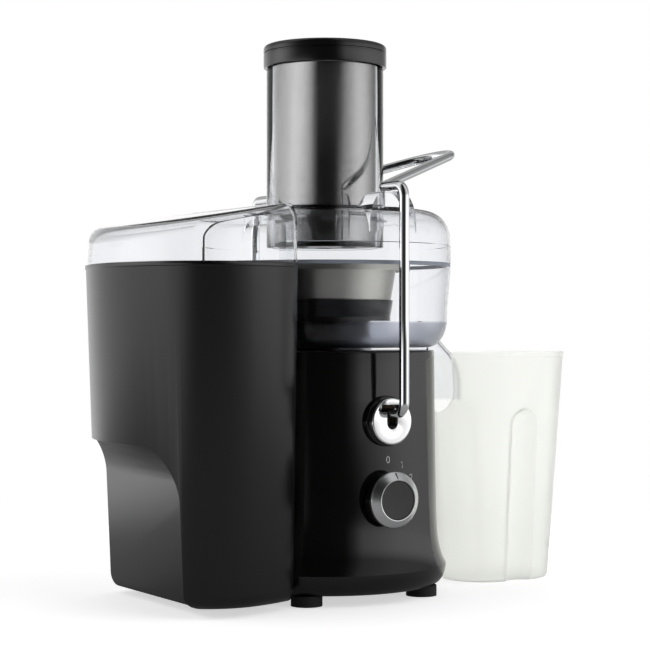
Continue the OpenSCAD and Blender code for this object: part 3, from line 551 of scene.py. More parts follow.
def plan_outline(grow, inner_x):
    """The container's plan in mm: a side arc, a broad corner and the end arc, each tangent to
    the next, and back."""
    side, corner, end = SIDE_ARC + grow, BIN_CORNER + grow, END_ARC + grow
    side_turn = math.degrees(math.acos((inner_x - SIDE_ARC_X) / side))
    corner_from = math.degrees(math.atan2(CORNER_Y - SIDE_Y, CORNER_X - SIDE_ARC_X))
    corner_to = math.degrees(math.atan2(CORNER_Y, CORNER_X - END_X))
    upper = arc(SIDE_ARC_X, SIDE_Y, side, side, side_turn, corner_from, 8)
    upper += arc(CORNER_X, CORNER_Y, corner, corner, corner_from, corner_to, 18)[1:]
    upper += arc(END_X, 0, end, end, corner_to, 180, 7)[1:]
    return upper + [(x, -y) for x, y in reversed(upper[:-1])]


def plan_reach(outline, inner_x):
    """How far a plan reaches out from its inner side, and how far to each side."""
    return inner_x - min(x for x, _ in outline), max(y for _, y in outline)


def column(name, grow, inner_x, levels):
    """A plan drawn at the first level and raised through the others; each level is
    (height, growth)."""
    outline = plan_outline(grow, inner_x)
    long, wide = plan_reach(outline, inner_x)
    piece = path(name, [(x, y, levels[0][0]) for x, y in outline], closed=True)
    now = 0.0
    for index, (height, growth) in enumerate(levels):
        if index:
            push((0, 0, (height - levels[index - 1][0]) * MM))
        swell = ((long + growth) / (long + now), (wide + growth) / (wide + now), 1)
        bpy.ops.transform.resize(value=swell, center_override=(inner_x * MM, 0, height * MM))
        now = growth
    tidy_open()
    return settle(piece)


def container_block(name, inset, floor_z, top_z, lip):
    """The container's outside, or its inside when inset by the wall."""
    slope = BIN_GROWTH / (BIN_RIM - BIN_FLOOR)
    lip_z = BIN_RIM - LIP_RISE
    edge = BIN_EDGE - inset * 0.5
    levels = []
    for a in (math.radians(90 * step / 7) for step in range(8)):
        z = floor_z + edge * (1 - math.cos(a))
        levels.append((z, slope * (z - BIN_FLOOR) - edge * (1 - math.sin(a))))
    if lip:
        under = slope * (lip_z - BIN_FLOOR) - LIP
        levels += [(lip_z - LIP_UNDER, under), (lip_z - LIP_TURN, under + LIP_ROOT)]
        levels.append((lip_z, under + LIP))
    levels.append((top_z, slope * (top_z - BIN_FLOOR)))
    piece = column(name, -inset, BIN_INNER - inset, levels)
    low_r, high_r = SKIRT_R + BIN_GAP + inset, BOWL_R + BIN_GAP + inset
    return cut(
        piece,
        rod("low_round", low_r, -10, BIN_STEP, steps=160),
        rod("high_round", high_r, BIN_STEP - inset, BIN_RIM + 20, steps=160),
    )


def scoop(inset):
    """The finger scoop: a coved step across the outer end that runs out on the far side."""
    face_x = -BIN_END + SCOOP_DEPTH + inset
    foot_x = face_x + (SCOOP_FACE - BIN_FLOOR) * math.tan(math.radians(SCOOP_DRAFT))
    far = -2 * BIN_END
    side = [(foot_x, BIN_FLOOR - 2), (face_x, SCOOP_FACE)]
    side += arc(face_x - SCOOP_BEND, SCOOP_FACE, SCOOP_BEND, SCOOP_BEND + inset, 6, 88, 14)
    side += [(far, SCOOP_FACE + SCOOP_BEND + inset), (far, BIN_FLOOR - 2)]
    wide, rise = ARCH_WIDE + inset, ARCH_RISE + inset
    arch = [(BIN_END, BIN_FLOOR - 3), (BIN_END, ARCH_TOP + inset)]
    arch += arc(ARCH_WIDE - ARCH_NEAR, ARCH_TOP - ARCH_RISE, wide, rise, 90, 180, 24)
    arch += [(-ARCH_NEAR - inset, BIN_FLOOR - 3)]
    step = prism("scoop_side", side, "Y", BIN_END + 5, -BIN_END - 5)
    return combine(step, prism("scoop_arch", arch, "X", far + 5, -60), "INTERSECT")


container = container_block("container_shell", 0, BIN_FLOOR, BIN_RIM, True)
hollow = container_block("container_inside", WALL, BIN_FLOOR + WALL, BIN_RIM + 1, False)
cut(hollow, scoop(WALL))
cut(container, scoop(0), hollow)
soften(container, BIN_ROUNDING, 32, 2)
finish_piece(container, matte_black, "bin", "matte_black", "pulp_container")


# ---------------------------------------------------------------- clear lid, chute and bowl

LID_FOOT = high_corner("bowl_seal")[2]
LID_TOP, LID_SIDE, LID_ROUND, LID_ROUNDING = 276.5, 256.0, 18.6, 0.6
STEP_LINE, STEP_DEEP = 251.5, 0.5
CHUTE_R, CHUTE_WALL, CHUTE_LOW, CHUTE_EDGE = 42.6, 4.0, 250.0, 0.8
CHUTE_TOP = high_corner("lid")[2]
SHOULDER_X, SHOULDER_Z, WING_SLOPE, WING_IN = -75.0, 265.5, 9.5, 1.5
CROWN_RISE, CROWN_IN, CROWN_STEPS = 12.0, 12.0, 8
EAR_HALF, EAR_TOP, EAR_LOW, EAR_TIP = 19.0, 6.0, 264.0, 286.2
EAR_IN, EAR_OUT, EAR_ROOT = 72.0, 90.0, 258.0


def lid_dome(name, inset):
    """The round of the lid as a thick ring: an upright side with a step line, then a quarter
    turn to a flat crown."""
    foot = LID_FOOT - (1 if inset else 0)
    side = BOWL_R - inset
    hole = CHUTE_R - 1 - inset * 0.7
    outline = [(hole, foot), (side, foot)]
    if not inset:
        outline += [(side, STEP_LINE - 0.5), (side - STEP_DEEP, STEP_LINE)]
        side -= STEP_DEEP
    turn_r, turn_h = side - BOWL_R + LID_ROUND, LID_TOP - LID_SIDE - inset
    outline += arc(BOWL_R - LID_ROUND, LID_SIDE, turn_r, turn_h, 0, 90, 14)
    outline.append((hole, LID_TOP - inset))
    return lathe(name, outline, 144)


def wing(name, inset, foot):
    """The lid's arm over the container, as a solid: a plan raised to a sloped shoulder with a
    crowned top."""
    grow = BIN_GROWTH - WING_IN
    inner_x = BIN_INNER - inset
    plan = plan_outline(-inset, inner_x)
    long, wide = plan_reach(plan, inner_x)
    stretch, spread = 1 + grow / long, 1 + grow / wide
    outline = [(inner_x + (x - inner_x) * stretch, y * spread, foot) for x, y in plan]
    piece = path(name, outline, closed=True)
    wide, long = wide + grow, long + grow
    pivot = (SHOULDER_X * MM, 0, (SHOULDER_Z - inset) * MM)
    lean = math.radians(WING_SLOPE)
    push((0, 0, (SHOULDER_Z - inset - foot) * MM))
    bpy.ops.transform.rotate(value=lean, orient_axis="Y", center_override=pivot)
    up = Vector((-math.sin(lean), 0, math.cos(lean)))
    was_in, was_up = 0.0, 0.0
    for step in range(1, CROWN_STEPS + 1):
        a = math.radians(90 * step / CROWN_STEPS)
        inwards, upwards = CROWN_IN * (1 - math.cos(a)), CROWN_RISE * math.sin(a)
        push(up * (upwards - was_up) * MM)
        narrower = (long - inwards) / (long - was_in)
        shrink = (narrower, (wide - inwards) / (wide - was_in), narrower)
        bpy.ops.transform.resize(value=shrink, center_override=pivot)
        was_in, was_up = inwards, upwards
    tidy_open()
    return settle(piece)


def ear(name):
    """One arch that the arm's cross stretch lies on."""
    side = arc(EAR_TOP, EAR_LOW, EAR_HALF - EAR_TOP, EAR_TIP - EAR_LOW, 0, 90, 12)
    outline = side + [(-x, z) for x, z in reversed(side)]
    outline += [(-EAR_HALF, EAR_ROOT), (EAR_HALF, EAR_ROOT)]
    return prism(name, outline, "Y", -EAR_OUT, -EAR_IN)


wing_outside = cut(
    wing("wing_outside", 0, BIN_RIM + 0.3), rod("over_seal", BOWL_R + 0.6, 230, LID_FOOT)
)
lid = join(lid_dome("lid_shell", 0), wing_outside)
cut(lid, join(lid_dome("lid_inside", WALL), wing("wing_inside", WALL, BIN_RIM - 1)))
front_ear = cut(ear("ear"), lid_dome("ear_trim", WALL))
join(lid, front_ear, mirrored(front_ear, "rear_ear"))
soften(lid, LID_ROUNDING, 35, 2)
finish_piece(lid, clear, "base", "clear", "lid")

chute_in = CHUTE_R - CHUTE_WALL
chute = lathe("feed_chute", [
    (chute_in, CHUTE_LOW), (CHUTE_R - CHUTE_EDGE, CHUTE_LOW), (CHUTE_R, CHUTE_LOW + CHUTE_EDGE),
    (CHUTE_R, LID_TOP), (CHUTE_R + 0.9, LID_TOP + 0.2), (CHUTE_R, LID_TOP + 1.4),
    (CHUTE_R, CHUTE_TOP - CHUTE_EDGE), (CHUTE_R - CHUTE_EDGE, CHUTE_TOP),
    (chute_in + 0.6, CHUTE_TOP), (chute_in, CHUTE_TOP - 0.6),
], 144)
smooth(chute, 50)
finish_piece(chute, clear, "base", "clear", "lid")

BOWL_RIM = low_corner("bowl_seal")[2]
BOWL_LOW_R = BOWL_R - 2.6
BOWL_FLOOR, BOWL_TURN_Z, BOWL_TURN_R = 178.0, 200.0, 14.0
HUB_R, HUB_IN, HUB_TOP, HUB_FOOT_R, HUB_LOW = 28.9, 26.4, 195.0, 33.9, 176.3


def bowl_side(inset):
    turn_r, turn_h = BOWL_TURN_R - inset, BOWL_TURN_Z - BOWL_FLOOR - inset
    turn = arc(BOWL_LOW_R - BOWL_TURN_R, BOWL_TURN_Z, turn_r, turn_h, 0, -90, 16)
    low_r = BOWL_LOW_R - inset + 0.15
    return [(BOWL_R - inset, BOWL_RIM), (low_r, BOWL_TURN_Z + 6)] + turn


bowl_hub = [
    (HUB_FOOT_R, BOWL_FLOOR), (HUB_FOOT_R, HUB_LOW), (HUB_IN, HUB_LOW), (HUB_IN, HUB_TOP),
    (HUB_R, HUB_TOP), (HUB_R, BOWL_FLOOR + WALL),
]
bowl = lathe("bowl_shell", bowl_side(0) + bowl_hub + bowl_side(WALL)[::-1], 144)

SPOUT_R, SPOUT_X, SPOUT_TURN_Z, SPOUT_LOW = 15.0, 104.0, 158.0, low_corner("juice_bowl")[2]
SPOUT_FROM_X, SPOUT_FROM_Z, SPOUT_BEND = 74.0, 186.0, 22.0


def spout(name, r, end_z):
    """The spout's pipe as a solid, bent from the bowl's side down to its mouth."""
    start, mouth = (SPOUT_FROM_X, 0, SPOUT_FROM_Z), (SPOUT_X, 0, end_z)
    knee = (SPOUT_X, 0, SPOUT_TURN_Z)
    return sweep(name, [start, *corner_bend(start, knee, mouth, SPOUT_BEND, 10), mouth], r, 22)


def clear_of_body(pipe, inset):
    """The pipe without the part that would stand in the motor body."""
    r = BODY_R + 1.5 + inset
    return cut(pipe, rod("body_clear", r, 0, BOWL_FLOOR + inset, steps=128))


join(bowl, clear_of_body(spout("spout_outside", SPOUT_R, SPOUT_LOW), 0))
cut(bowl, clear_of_body(spout("spout_inside", SPOUT_R - WALL, SPOUT_LOW - 1), WALL))
smooth(bowl, 32)
finish_piece(bowl, bowl_clear, "base", "clear", "juice_bowl")


# ---------------------------------------------------------------- jug

JUG_H = high_corner("juice_jug")[2]
JUG_X, JUG_LONG, JUG_FLOOR_R, JUG_TOP_R, JUG_WALL = 141.0, 22.0, 33.0, 45.0, 2.0
JUG_MIDDLE = JUG_X + JUG_LONG / 2
# The rounding under the jug, and the bead round its rim
JUG_EDGE, BEAD_UNDER, BEAD_LOW, BEAD_DEEP = 4.0, 4.0, 3.2, 0.5
NOTCH_HALF, NOTCH_LOW = 17.6, 128.0
PINCH_R, PINCH_TOP, PINCH_FOOT = 13.0, 118.0, -12
PINCH_Y = JUG_FLOOR_R + PINCH_R - 8


def jug_radius(z):
    return lerp(JUG_FLOOR_R, JUG_TOP_R, z / JUG_H)


def jug_plan(r, count=20):
    """The jug's plan at a level: two half rounds joined by short straight sides."""
    far = arc(JUG_X + JUG_LONG, 0, r, r, -90, 90, count)
    return far + arc(JUG_X, 0, r, r, 90, 270, count)


def jug_solid(name, levels):
    """A solid through (height, radius) levels."""
    before, before_r = levels[0]
    half = JUG_LONG / 2
    piece = path(name, [(x, y, before) for x, y in jug_plan(before_r)], closed=True)
    for z, r in levels[1:]:
        push((0, 0, (z - before) * MM))
        grow = ((half + r) / (half + before_r), r / before_r, 1)
        bpy.ops.transform.resize(value=grow, center_override=(JUG_MIDDLE * MM, 0, z * MM))
        before, before_r = z, r
    tidy_open()
    return settle(piece)


def pinch(name, grow):
    """The finger groove down one side, leaning with the wall and round at its top."""
    lean = math.atan2(JUG_TOP_R - JUG_FLOOR_R, JUG_H)
    r = PINCH_R + grow
    side = [(0, PINCH_FOOT), (r, PINCH_FOOT), (r, PINCH_TOP)]
    side += arc(0, PINCH_TOP, r, r, 0, 90, 12)[1:]
    side[-1] = (0, side[-1][1])
    return lathe(name, side, 48, (JUG_MIDDLE, -PINCH_Y, 0), (lean, 0, 0))


def jug_outside():
    levels = []
    for a in (math.radians(15 * k) for k in range(7)):
        r = jug_radius(0) - JUG_EDGE * (1 - math.sin(a)) * 0.9
        levels.append((JUG_EDGE * (1 - math.cos(a)), r))
    under = JUG_H - BEAD_UNDER
    levels += [
        (under, jug_radius(under) - BEAD_DEEP), (JUG_H - BEAD_LOW, jug_radius(JUG_H) - 0.1),
        (JUG_H, JUG_TOP_R),
    ]
    return jug_solid("jug_shell", levels)


def jug_inside():
    floor_r, top = jug_radius(JUG_WALL) - JUG_WALL, JUG_H + 1
    return jug_solid("jug_inside", [
        (JUG_WALL, floor_r - 1.5), (JUG_WALL + 1.5, floor_r), (top, jug_radius(top) - JUG_WALL),
    ])


def rim_notch():
    """The round opening in the rim that the spout hangs in."""
    outline = [(-NOTCH_HALF, JUG_H + 5)]
    outline += arc(0, NOTCH_LOW + NOTCH_HALF, NOTCH_HALF, NOTCH_HALF, 180, 360, 24)
    outline += [(NOTCH_HALF, JUG_H + 5)]
    return prism("notch", outline, "X", JUG_X - JUG_TOP_R - 10, JUG_X - 10)


front_pinch, front_inner = pinch("pinch", 0), pinch("pinch_inside", JUG_WALL)
rear_pinch = mirrored(front_pinch, "rear_pinch")
rear_inner = mirrored(front_inner, "rear_pinch_inside")
hollow = cut(jug_inside(), front_inner, rear_inner)
jug = cut(jug_outside(), front_pinch, rear_pinch, hollow, rim_notch())
soften(jug, 0.6, 32, 2)
finish_piece(jug, frosted, "jug", "frosted", "juice_jug")


# ---------------------------------------------------------------- motor housing

DRAFT, SEAM_Z, FLARE, FLARE_LEN = 0.012, 22.0, 6.6, 11.0
DECK_Z, DECK_EDGE, DECK_HOLE_R = 176.0, 1.5, 12.0
COLLAR_R, COLLAR_TOP, COLLAR_EDGE, COLLAR_ROOT = 26.0, 184.0, 0.5, 1.0
DISC_Z, BOSS_R, BOSS_Y = 127.5, 17.5, 83.4
KNOB_Z, GLAND_Z, GLAND_BOSS_R, GLAND_Y = 73.7, 52.0, 9.0, 83.5
PIVOT_Z, BUSH_BORE_R, KNOB_BORE_R, GLAND_BORE_R = 133.4, 6.5, 6.2, 4.5
SIDEWAYS = (QUARTER_TURN, 0, 0)


def body_radius(z):
    """The body's radius: a slight draft, and a skirt that flares towards the seam."""
    return BODY_R + (DECK_Z - z) * DRAFT + FLARE * math.exp((SEAM_Z - z) / FLARE_LEN)


def side_knob(name, outline, z, steps=96):
    """A turned piece whose axis points to the front, drawn as (radius, distance in front)."""
    return lathe(name, outline, steps, (0, 0, z), SIDEWAYS)


def housing_shell():
    heights = [SEAM_Z + 2 * k for k in range(24)] + [82, 110, 140, DECK_Z - DECK_EDGE]
    outline = [(body_radius(z), z) for z in heights]
    outline += arc(BODY_R - DECK_EDGE, DECK_Z - DECK_EDGE, DECK_EDGE, DECK_EDGE, 0, 90, 5)[1:]
    outline += [
        (COLLAR_R + COLLAR_ROOT, DECK_Z), (COLLAR_R, DECK_Z + COLLAR_ROOT),
        (COLLAR_R, COLLAR_TOP - COLLAR_EDGE), (COLLAR_R - COLLAR_EDGE, COLLAR_TOP),
        (COLLAR_R - WALL, COLLAR_TOP), (COLLAR_R - WALL, DECK_Z),
        (DECK_HOLE_R, DECK_Z), (DECK_HOLE_R, DECK_Z - WALL),
        (body_radius(DECK_Z) - WALL, DECK_Z - WALL),
    ]
    outline += [(body_radius(z) - WALL, z) for z in reversed(heights[:-1])]
    return lathe("housing_shell", outline, 192)


def boss(name, r, tip, root, z):
    side = [(0, root), (r + 0.4, root), (r, tip - 1)]
    side += arc(r - 1, tip - 1, 1, 1, 0, 90, 4)[1:] + [(0, tip)]
    return side_knob(name, side, z)


shell = housing_shell()
front_boss = boss("pivot_boss", BOSS_R, BOSS_Y, BODY_R - 6, DISC_Z)
rear_boss = mirrored(front_boss, "rear_boss")
# The gland's boss is turned at the front, like the others, and only its mirror image stays
front_gland = boss("gland_front", GLAND_BOSS_R, GLAND_Y, BODY_R - 2, GLAND_Z)
gland_boss = mirrored(front_gland, "gland_boss")
bpy.data.objects.remove(front_gland)
join(shell, front_boss, rear_boss, gland_boss)
cut(
    shell, rod("bush_bore", BUSH_BORE_R, -BOSS_Y - 2, BOSS_Y + 2, "Y", (0, PIVOT_Z)),
    rod("knob_bore", KNOB_BORE_R, -BODY_R - 8, -BODY_R + 12, "Y", (0, KNOB_Z)),
    rod("gland_bore", GLAND_BORE_R, BODY_R - 8, GLAND_Y + 2, "Y", (0, GLAND_Z)),
)
smooth(shell, 35)
finish_piece(shell, gloss_black, "base", "gloss_black", "housing")


# ---------------------------------------------------------------- pivot discs

DISC_R, DISC_FACE, DISC_EDGE = 16.2, 89.0, 1.2
NECK_R, SLOT_LOW = 4.4, 126.5
CROSS_HALF, CROSS_RISE, CROSS_H = 9.0, 7.4, 5.2


def pivot_disc():
    """A disc with a T-shaped slot, round at its foot."""
    flat_r, edge_y = DISC_R - DISC_EDGE, DISC_FACE - DISC_EDGE
    side = [(0, BOSS_Y), (DISC_R, BOSS_Y), (DISC_R, edge_y)]
    side += arc(flat_r, edge_y, DISC_EDGE, DISC_EDGE, 0, 90, 5)[1:] + [(0, DISC_FACE)]
    disc = side_knob("front_disc_plate", side, DISC_Z, 128)
    near, far = -DISC_FACE - 1, -BOSS_Y + 1
    cross_low = SLOT_LOW + CROSS_RISE
    neck = rod("neck", NECK_R, near, far, "Y", (0, SLOT_LOW))
    throat = block("throat", (-NECK_R, near, SLOT_LOW), (NECK_R, far, cross_low + CROSS_H / 2))
    cross = block("cross", (-CROSS_HALF, near, cross_low), (CROSS_HALF, far, cross_low + CROSS_H))
    cut(disc, neck, throat, cross)
    return soften(disc, 0.25, 40, 2)


front_disc = pivot_disc()
finish_piece(front_disc, mirror_steel, "base", "chrome", "front_pivot_disc")
rear_disc = mirrored(front_disc, "rear_disc_plate")
finish_piece(rear_disc, mirror_steel, "base", "chrome", "rear_pivot_disc")


# ---------------------------------------------------------------- locking arm

ROD_R, LEG_Y, CROSS_Z, PIN_Y = 3.5, 103.4, 290.0, 66.0
LEG_BEND, ELBOW_BEND = 8, 6
LOOP_Y, LOOP_REACH, LOOP_R = 76.5, 105.0, 30.0
LOOP_RISE = math.radians(17.4)


def loop_points():
    """The loop over the lid, from the front cross end to the rear one."""
    centre = LOOP_REACH / math.cos(LOOP_RISE) - LOOP_R
    turn = math.atan2(LOOP_Y, centre) - math.asin(LOOP_R / math.hypot(centre, LOOP_Y))
    lean = math.degrees(turn)
    flat = arc(centre, 0, LOOP_R, LOOP_R, lean - 90, 90 - lean, 32)
    return [(x * math.cos(LOOP_RISE), y, CROSS_Z + x * math.sin(LOOP_RISE)) for x, y in flat]


def arm_points():
    """The arm from its front pin up the leg, over the lid and down to its rear pin."""
    loop = loop_points()
    pin, knee = (0, -PIN_Y, PIVOT_Z), (0, -LEG_Y, PIVOT_Z)
    shoulder, elbow = (0, -LEG_Y, CROSS_Z), (0, -LOOP_Y, CROSS_Z)
    half = [Vector(pin)]
    half += corner_bend(pin, knee, shoulder, LEG_BEND)
    half += corner_bend(knee, shoulder, elbow, LEG_BEND)
    half += corner_bend(shoulder, elbow, loop[0], ELBOW_BEND)
    rear = [Vector((p.x, -p.y, p.z)) for p in reversed(half)]
    return half + loop + rear


arm = smooth(sweep("arm_wire", arm_points(), ROD_R, 8), 40)
finish_piece(arm, chrome, "arm", "chrome", "arm_rod")


# ---------------------------------------------------------------- knob

KNOB_R, KNOB_FACE_R, CORE_R, SPINDLE_BORE_R = 19.5, 13.5, 18.0, 3.2
KNOB_BACK, BEVEL, KNOB_FRONT = 81.3, 92.5, 96.5
# What the ring clears the core and the face by, and how far the face lies back in it
RING_FIT, FACE_BACK, FACE_REST = 0.05, 0.7, 2


def knob_ring():
    seat_r = CORE_R + RING_FIT
    return smooth(side_knob("knob_bezel", [
        (KNOB_FACE_R, KNOB_FRONT - 0.6), (KNOB_FACE_R + 0.2, KNOB_FRONT - 0.1),
        (KNOB_FACE_R + 0.7, KNOB_FRONT), (KNOB_R - 0.7, BEVEL + 0.15),
        (KNOB_R - 0.15, BEVEL - 0.4), (KNOB_R, BEVEL - 1), (KNOB_R, BEVEL - 2.4),
        (seat_r, BEVEL - 2.4), (seat_r, BEVEL - 1), (KNOB_FACE_R, BEVEL - 1),
    ], KNOB_Z, 128), 50)


def knob_core():
    post_r, rest_y = KNOB_FACE_R - RING_FIT, KNOB_FRONT - FACE_REST
    core = side_knob("knob_body", [
        (0, KNOB_BACK), (CORE_R - 0.6, KNOB_BACK), (CORE_R, KNOB_BACK + 0.6),
        (CORE_R, BEVEL - 1), (post_r, BEVEL - 1), (post_r, rest_y), (0, rest_y),
    ], KNOB_Z)
    bore = rod("spindle_bore", SPINDLE_BORE_R, -BEVEL + 3, -KNOB_BACK + 1, "Y", (0, KNOB_Z))
    return smooth(cut(core, bore))


def knob_face():
    """A slightly dished face, with a small rounding at its edge."""
    r, rest_y, front = KNOB_FACE_R - RING_FIT, KNOB_FRONT - FACE_REST, KNOB_FRONT - FACE_BACK
    return smooth(side_knob("knob_plate", [
        (0, rest_y), (r, rest_y), (r, front - 0.4), (r - 0.4, front - 0.1),
        (r * 0.6, front - 0.3), (0, front - 0.4),
    ], KNOB_Z), 30)


def knob_pointer():
    """A line on the ring's bevel."""
    inner_end = (0, -KNOB_FRONT + 0.6, KNOB_Z + 14.4)
    return sweep("knob_pointer", [inner_end, (0, -BEVEL - 0.5, KNOB_Z + 18.4)], 0.5, 3)


finish_piece(knob_ring(), ring_silver, "knob", "satin_silver", "knob_ring")
finish_piece(knob_core(), gloss_black, "knob", "gloss_black", "knob_core")
finish_piece(knob_face(), knob_grey, "knob", "matte_black", "knob_face")
finish_piece(knob_pointer(), satin_black, "knob", "satin_silver")


# ---------------------------------------------------------------- pusher cap

CAP_Z, CAP_TOP, CAP_R, CAP_EDGE, CAP_FOOT = 380.8, 397.3, 44.8, 3.0, 0.8
CAP_CUT_Z, CAP_CUT_DEEP, CAP_CUT_EDGE = 390.8, 1, 0.3
TENON_LOW, TENON_OUT, TENON_IN = 368.8, 36.15, 33.2


def pusher_cap():
    """A cap with a groove round its side, and a tenon that fits in the sleeve."""
    floor_r, lip_r = CAP_R - CAP_CUT_DEEP, CAP_R - CAP_CUT_EDGE
    side = [
        (0, CAP_Z), (TENON_IN, CAP_Z), (TENON_IN, TENON_LOW), (TENON_OUT, TENON_LOW),
        (TENON_OUT, CAP_Z),
    ]
    side += arc(CAP_R - CAP_FOOT, CAP_Z + CAP_FOOT, CAP_FOOT, CAP_FOOT, -90, 0, 4)
    side += [
        (CAP_R, CAP_CUT_Z - 0.2), (lip_r, CAP_CUT_Z), (floor_r, CAP_CUT_Z + 0.1),
        (floor_r, CAP_CUT_Z + 0.9), (lip_r, CAP_CUT_Z + 1), (CAP_R, CAP_CUT_Z + 1.2),
    ]
    side += arc(CAP_R - CAP_EDGE, CAP_TOP - CAP_EDGE, CAP_EDGE, CAP_EDGE, 0, 90, 8)
    return smooth(lathe("cap_shell", side + [(0, CAP_TOP)], 160), 30)


finish_piece(pusher_cap(), satin_black, "pusher", "matte_black", "pusher_cap")


# ---------------------------------------------------------------- dial marks

MARK_REACH, MARK_R, MARK_H, MARK_W = 27.0, 0.35, 4.6, 2.6
# Each number's bearing in degrees clockwise from the knob's top, and its stroke in a unit square
DIAL = {
    "0": (4, [(0.5, 1), (0.1, 0.82), (0, 0.5), (0.1, 0.18), (0.5, 0), (0.9, 0.18), (1, 0.5),
              (0.9, 0.82), (0.5, 1)]),
    "1": (32, [(0.2, 0.78), (0.6, 1), (0.6, 0)]),
    "2": (60, [(0.02, 0.75), (0.15, 0.93), (0.5, 1), (0.88, 0.92), (0.98, 0.7), (0.8, 0.45),
               (0, 0), (1, 0)]),
}


def dial_mark(number, bearing, stroke):
    """A number drawn on the housing wall, as a fine raised line."""
    turn = math.radians(bearing)
    middle_x, middle_z = MARK_REACH * math.sin(turn), KNOB_Z + MARK_REACH * math.cos(turn)
    points = []
    for across, up in stroke:
        z = middle_z + (up - 0.5) * MARK_H
        r = body_radius(z)
        wrap = (middle_x + (across - 0.5) * MARK_W) / r
        points.append((r * math.sin(wrap), -r * math.cos(wrap), z))
    mark = sweep("dial_mark_" + number, points, MARK_R, 2)
    finish_piece(mark, mark_grey, "base", "gloss_black")


for number, (bearing, stroke) in DIAL.items():
    dial_mark(number, bearing, stroke)


# ---------------------------------------------------------------- chute root

# The chute's root is a small clear ring in a dark finish: painted shade along the top of the lid.
ROOT_R, ROOT_OUT, ROOT_LOW, ROOT_TOP = 42.7, 45.4, 276.4, 279.2
chute_root = smooth(lathe("chute_root", [
    (ROOT_R, ROOT_LOW), (ROOT_OUT, ROOT_LOW), (ROOT_OUT - 1.6, ROOT_LOW + 1.0), (ROOT_R, ROOT_TOP),
], 128), 40)
finish_piece(chute_root, painted_root_shade, "base", "clear")


# ---------------------------------------------------------------- camera and soft panels

VIEW_TURN = math.radians(31.5)
VIEW_DISTANCE, VIEW_HEIGHT, LENS, SENSOR, FAR_SIGHT = 1.35, 0.194, 102.46, 36, 50
behind = Vector((-math.sin(VIEW_TURN), -math.cos(VIEW_TURN), 0))

camera = bpy.data.objects.new("camera", bpy.data.cameras.new("camera"))
camera.data.lens = LENS
camera.data.sensor_width = SENSOR
camera.data.clip_end = FAR_SIGHT
camera.location = behind * VIEW_DISTANCE + Vector((0, 0, VIEW_HEIGHT))
camera.rotation_euler = (QUARTER_TURN, 0, -VIEW_TURN)
bpy.context.scene.collection.objects.link(camera)
bpy.context.scene.camera = camera

AIM = Vector((0, 0, 0.2))


def panel(name, bearing, distance, width, height, centre_z, radiance):
    """A soft panel that faces the juicer, on a bearing in degrees to the right of the camera's
    back. It lights the juicer but is never seen, mirrored or looked through at."""
    light = bpy.data.lights.new(name, "AREA")
    light.shape = "RECTANGLE"
    light.size, light.size_y = width, height
    light.energy = radiance * math.pi * width * height
    lamp = bpy.data.objects.new(name, light)
    turn = math.atan2(behind.y, behind.x) + math.radians(bearing)
    away = Vector((math.cos(turn), math.sin(turn), 0))
    lamp.location = away * distance + Vector((0, 0, centre_z))
    lamp.rotation_euler = (AIM - lamp.location).to_track_quat("-Z", "Y").to_euler()
    lamp.visible_camera = lamp.visible_glossy = lamp.visible_transmission = False
    bpy.context.scene.collection.objects.link(lamp)


panel("left_panel", -66, 1.5, 2.0, 2.2, 0.9, 0.72)
panel("right_panel", 66, 1.5, 2.0, 2.2, 0.9, 0.95)
panel("top_panel", 180, 1.2, 1.6, 1.2, 1.9, 0.7)


# ---------------------------------------------------------------- studio walls

# What bounced light meets, as (degrees from the camera's back, brightness): dark behind the
# camera, a soft panel, then the white backdrop. The height is turned over below, so level and
# rising rays meet the low walls, and falling rays the high ones.
LEFT_LOW = (
    (0, 0.02), (30, 0.04), (42, 0.08), (52, 0.2), (62, 0.6), (70, 1.15), (80, 1.8), (90, 2.1),
    (100, 1.9), (109, 1.4), (118, 0.95), (135, 1.1), (150, 1.0), (180, 1.0),
)
RIGHT_LOW = (
    (0, 0.02), (20, 0.04), (24, 0.14), (30, 0.39), (35, 0.78), (39, 1.05), (51, 1.25),
    (63, 1.45), (76, 1.6), (88, 1.5), (103, 1.24), (123, 0.75), (140, 0.5), (150, 0.6),
    (158, 1.0), (180, 1.0),
)
LEFT_HIGH = (
    (0, 0.02), (14, 0.03), (21, 0.2), (32, 0.85), (42, 1.25), (52, 1.5), (65, 1.6), (75, 1.55),
    (86, 1.3), (97, 1.14), (115, 1.0), (130, 0.95), (150, 1.1), (158, 1.0), (180, 1.0),
)
RIGHT_HIGH = (
    (0, 0.02), (28, 0.03), (34, 0.08), (39, 0.16), (46, 0.4), (57, 0.7), (68, 1.0), (79, 1.25),
    (92, 1.25), (104, 1.05), (125, 0.6), (141, 0.32), (150, 0.6), (158, 1.0), (180, 1.0),
)
# The brightest a wall may be, so that a ramp's colours stay between 0 and 1
WALL_PEAK = 2.2
# Heights of a ray, as turned over below: where the high walls and the ceiling take over, and
# where the walls darken and how much
HIGH_FROM, HIGH_AT = 0.02, 0.05
CEILING_FROM, CEILING_AT, CEILING = 0.55, 0.85, (0.45, 0.45, 0.45, 1)
TABLE_AT, TABLE_FROM, TABLE_DARK = -0.3, -0.1, 0.4

world = bpy.data.worlds.new("studio")
bpy.context.scene.world = world
world.use_nodes = True


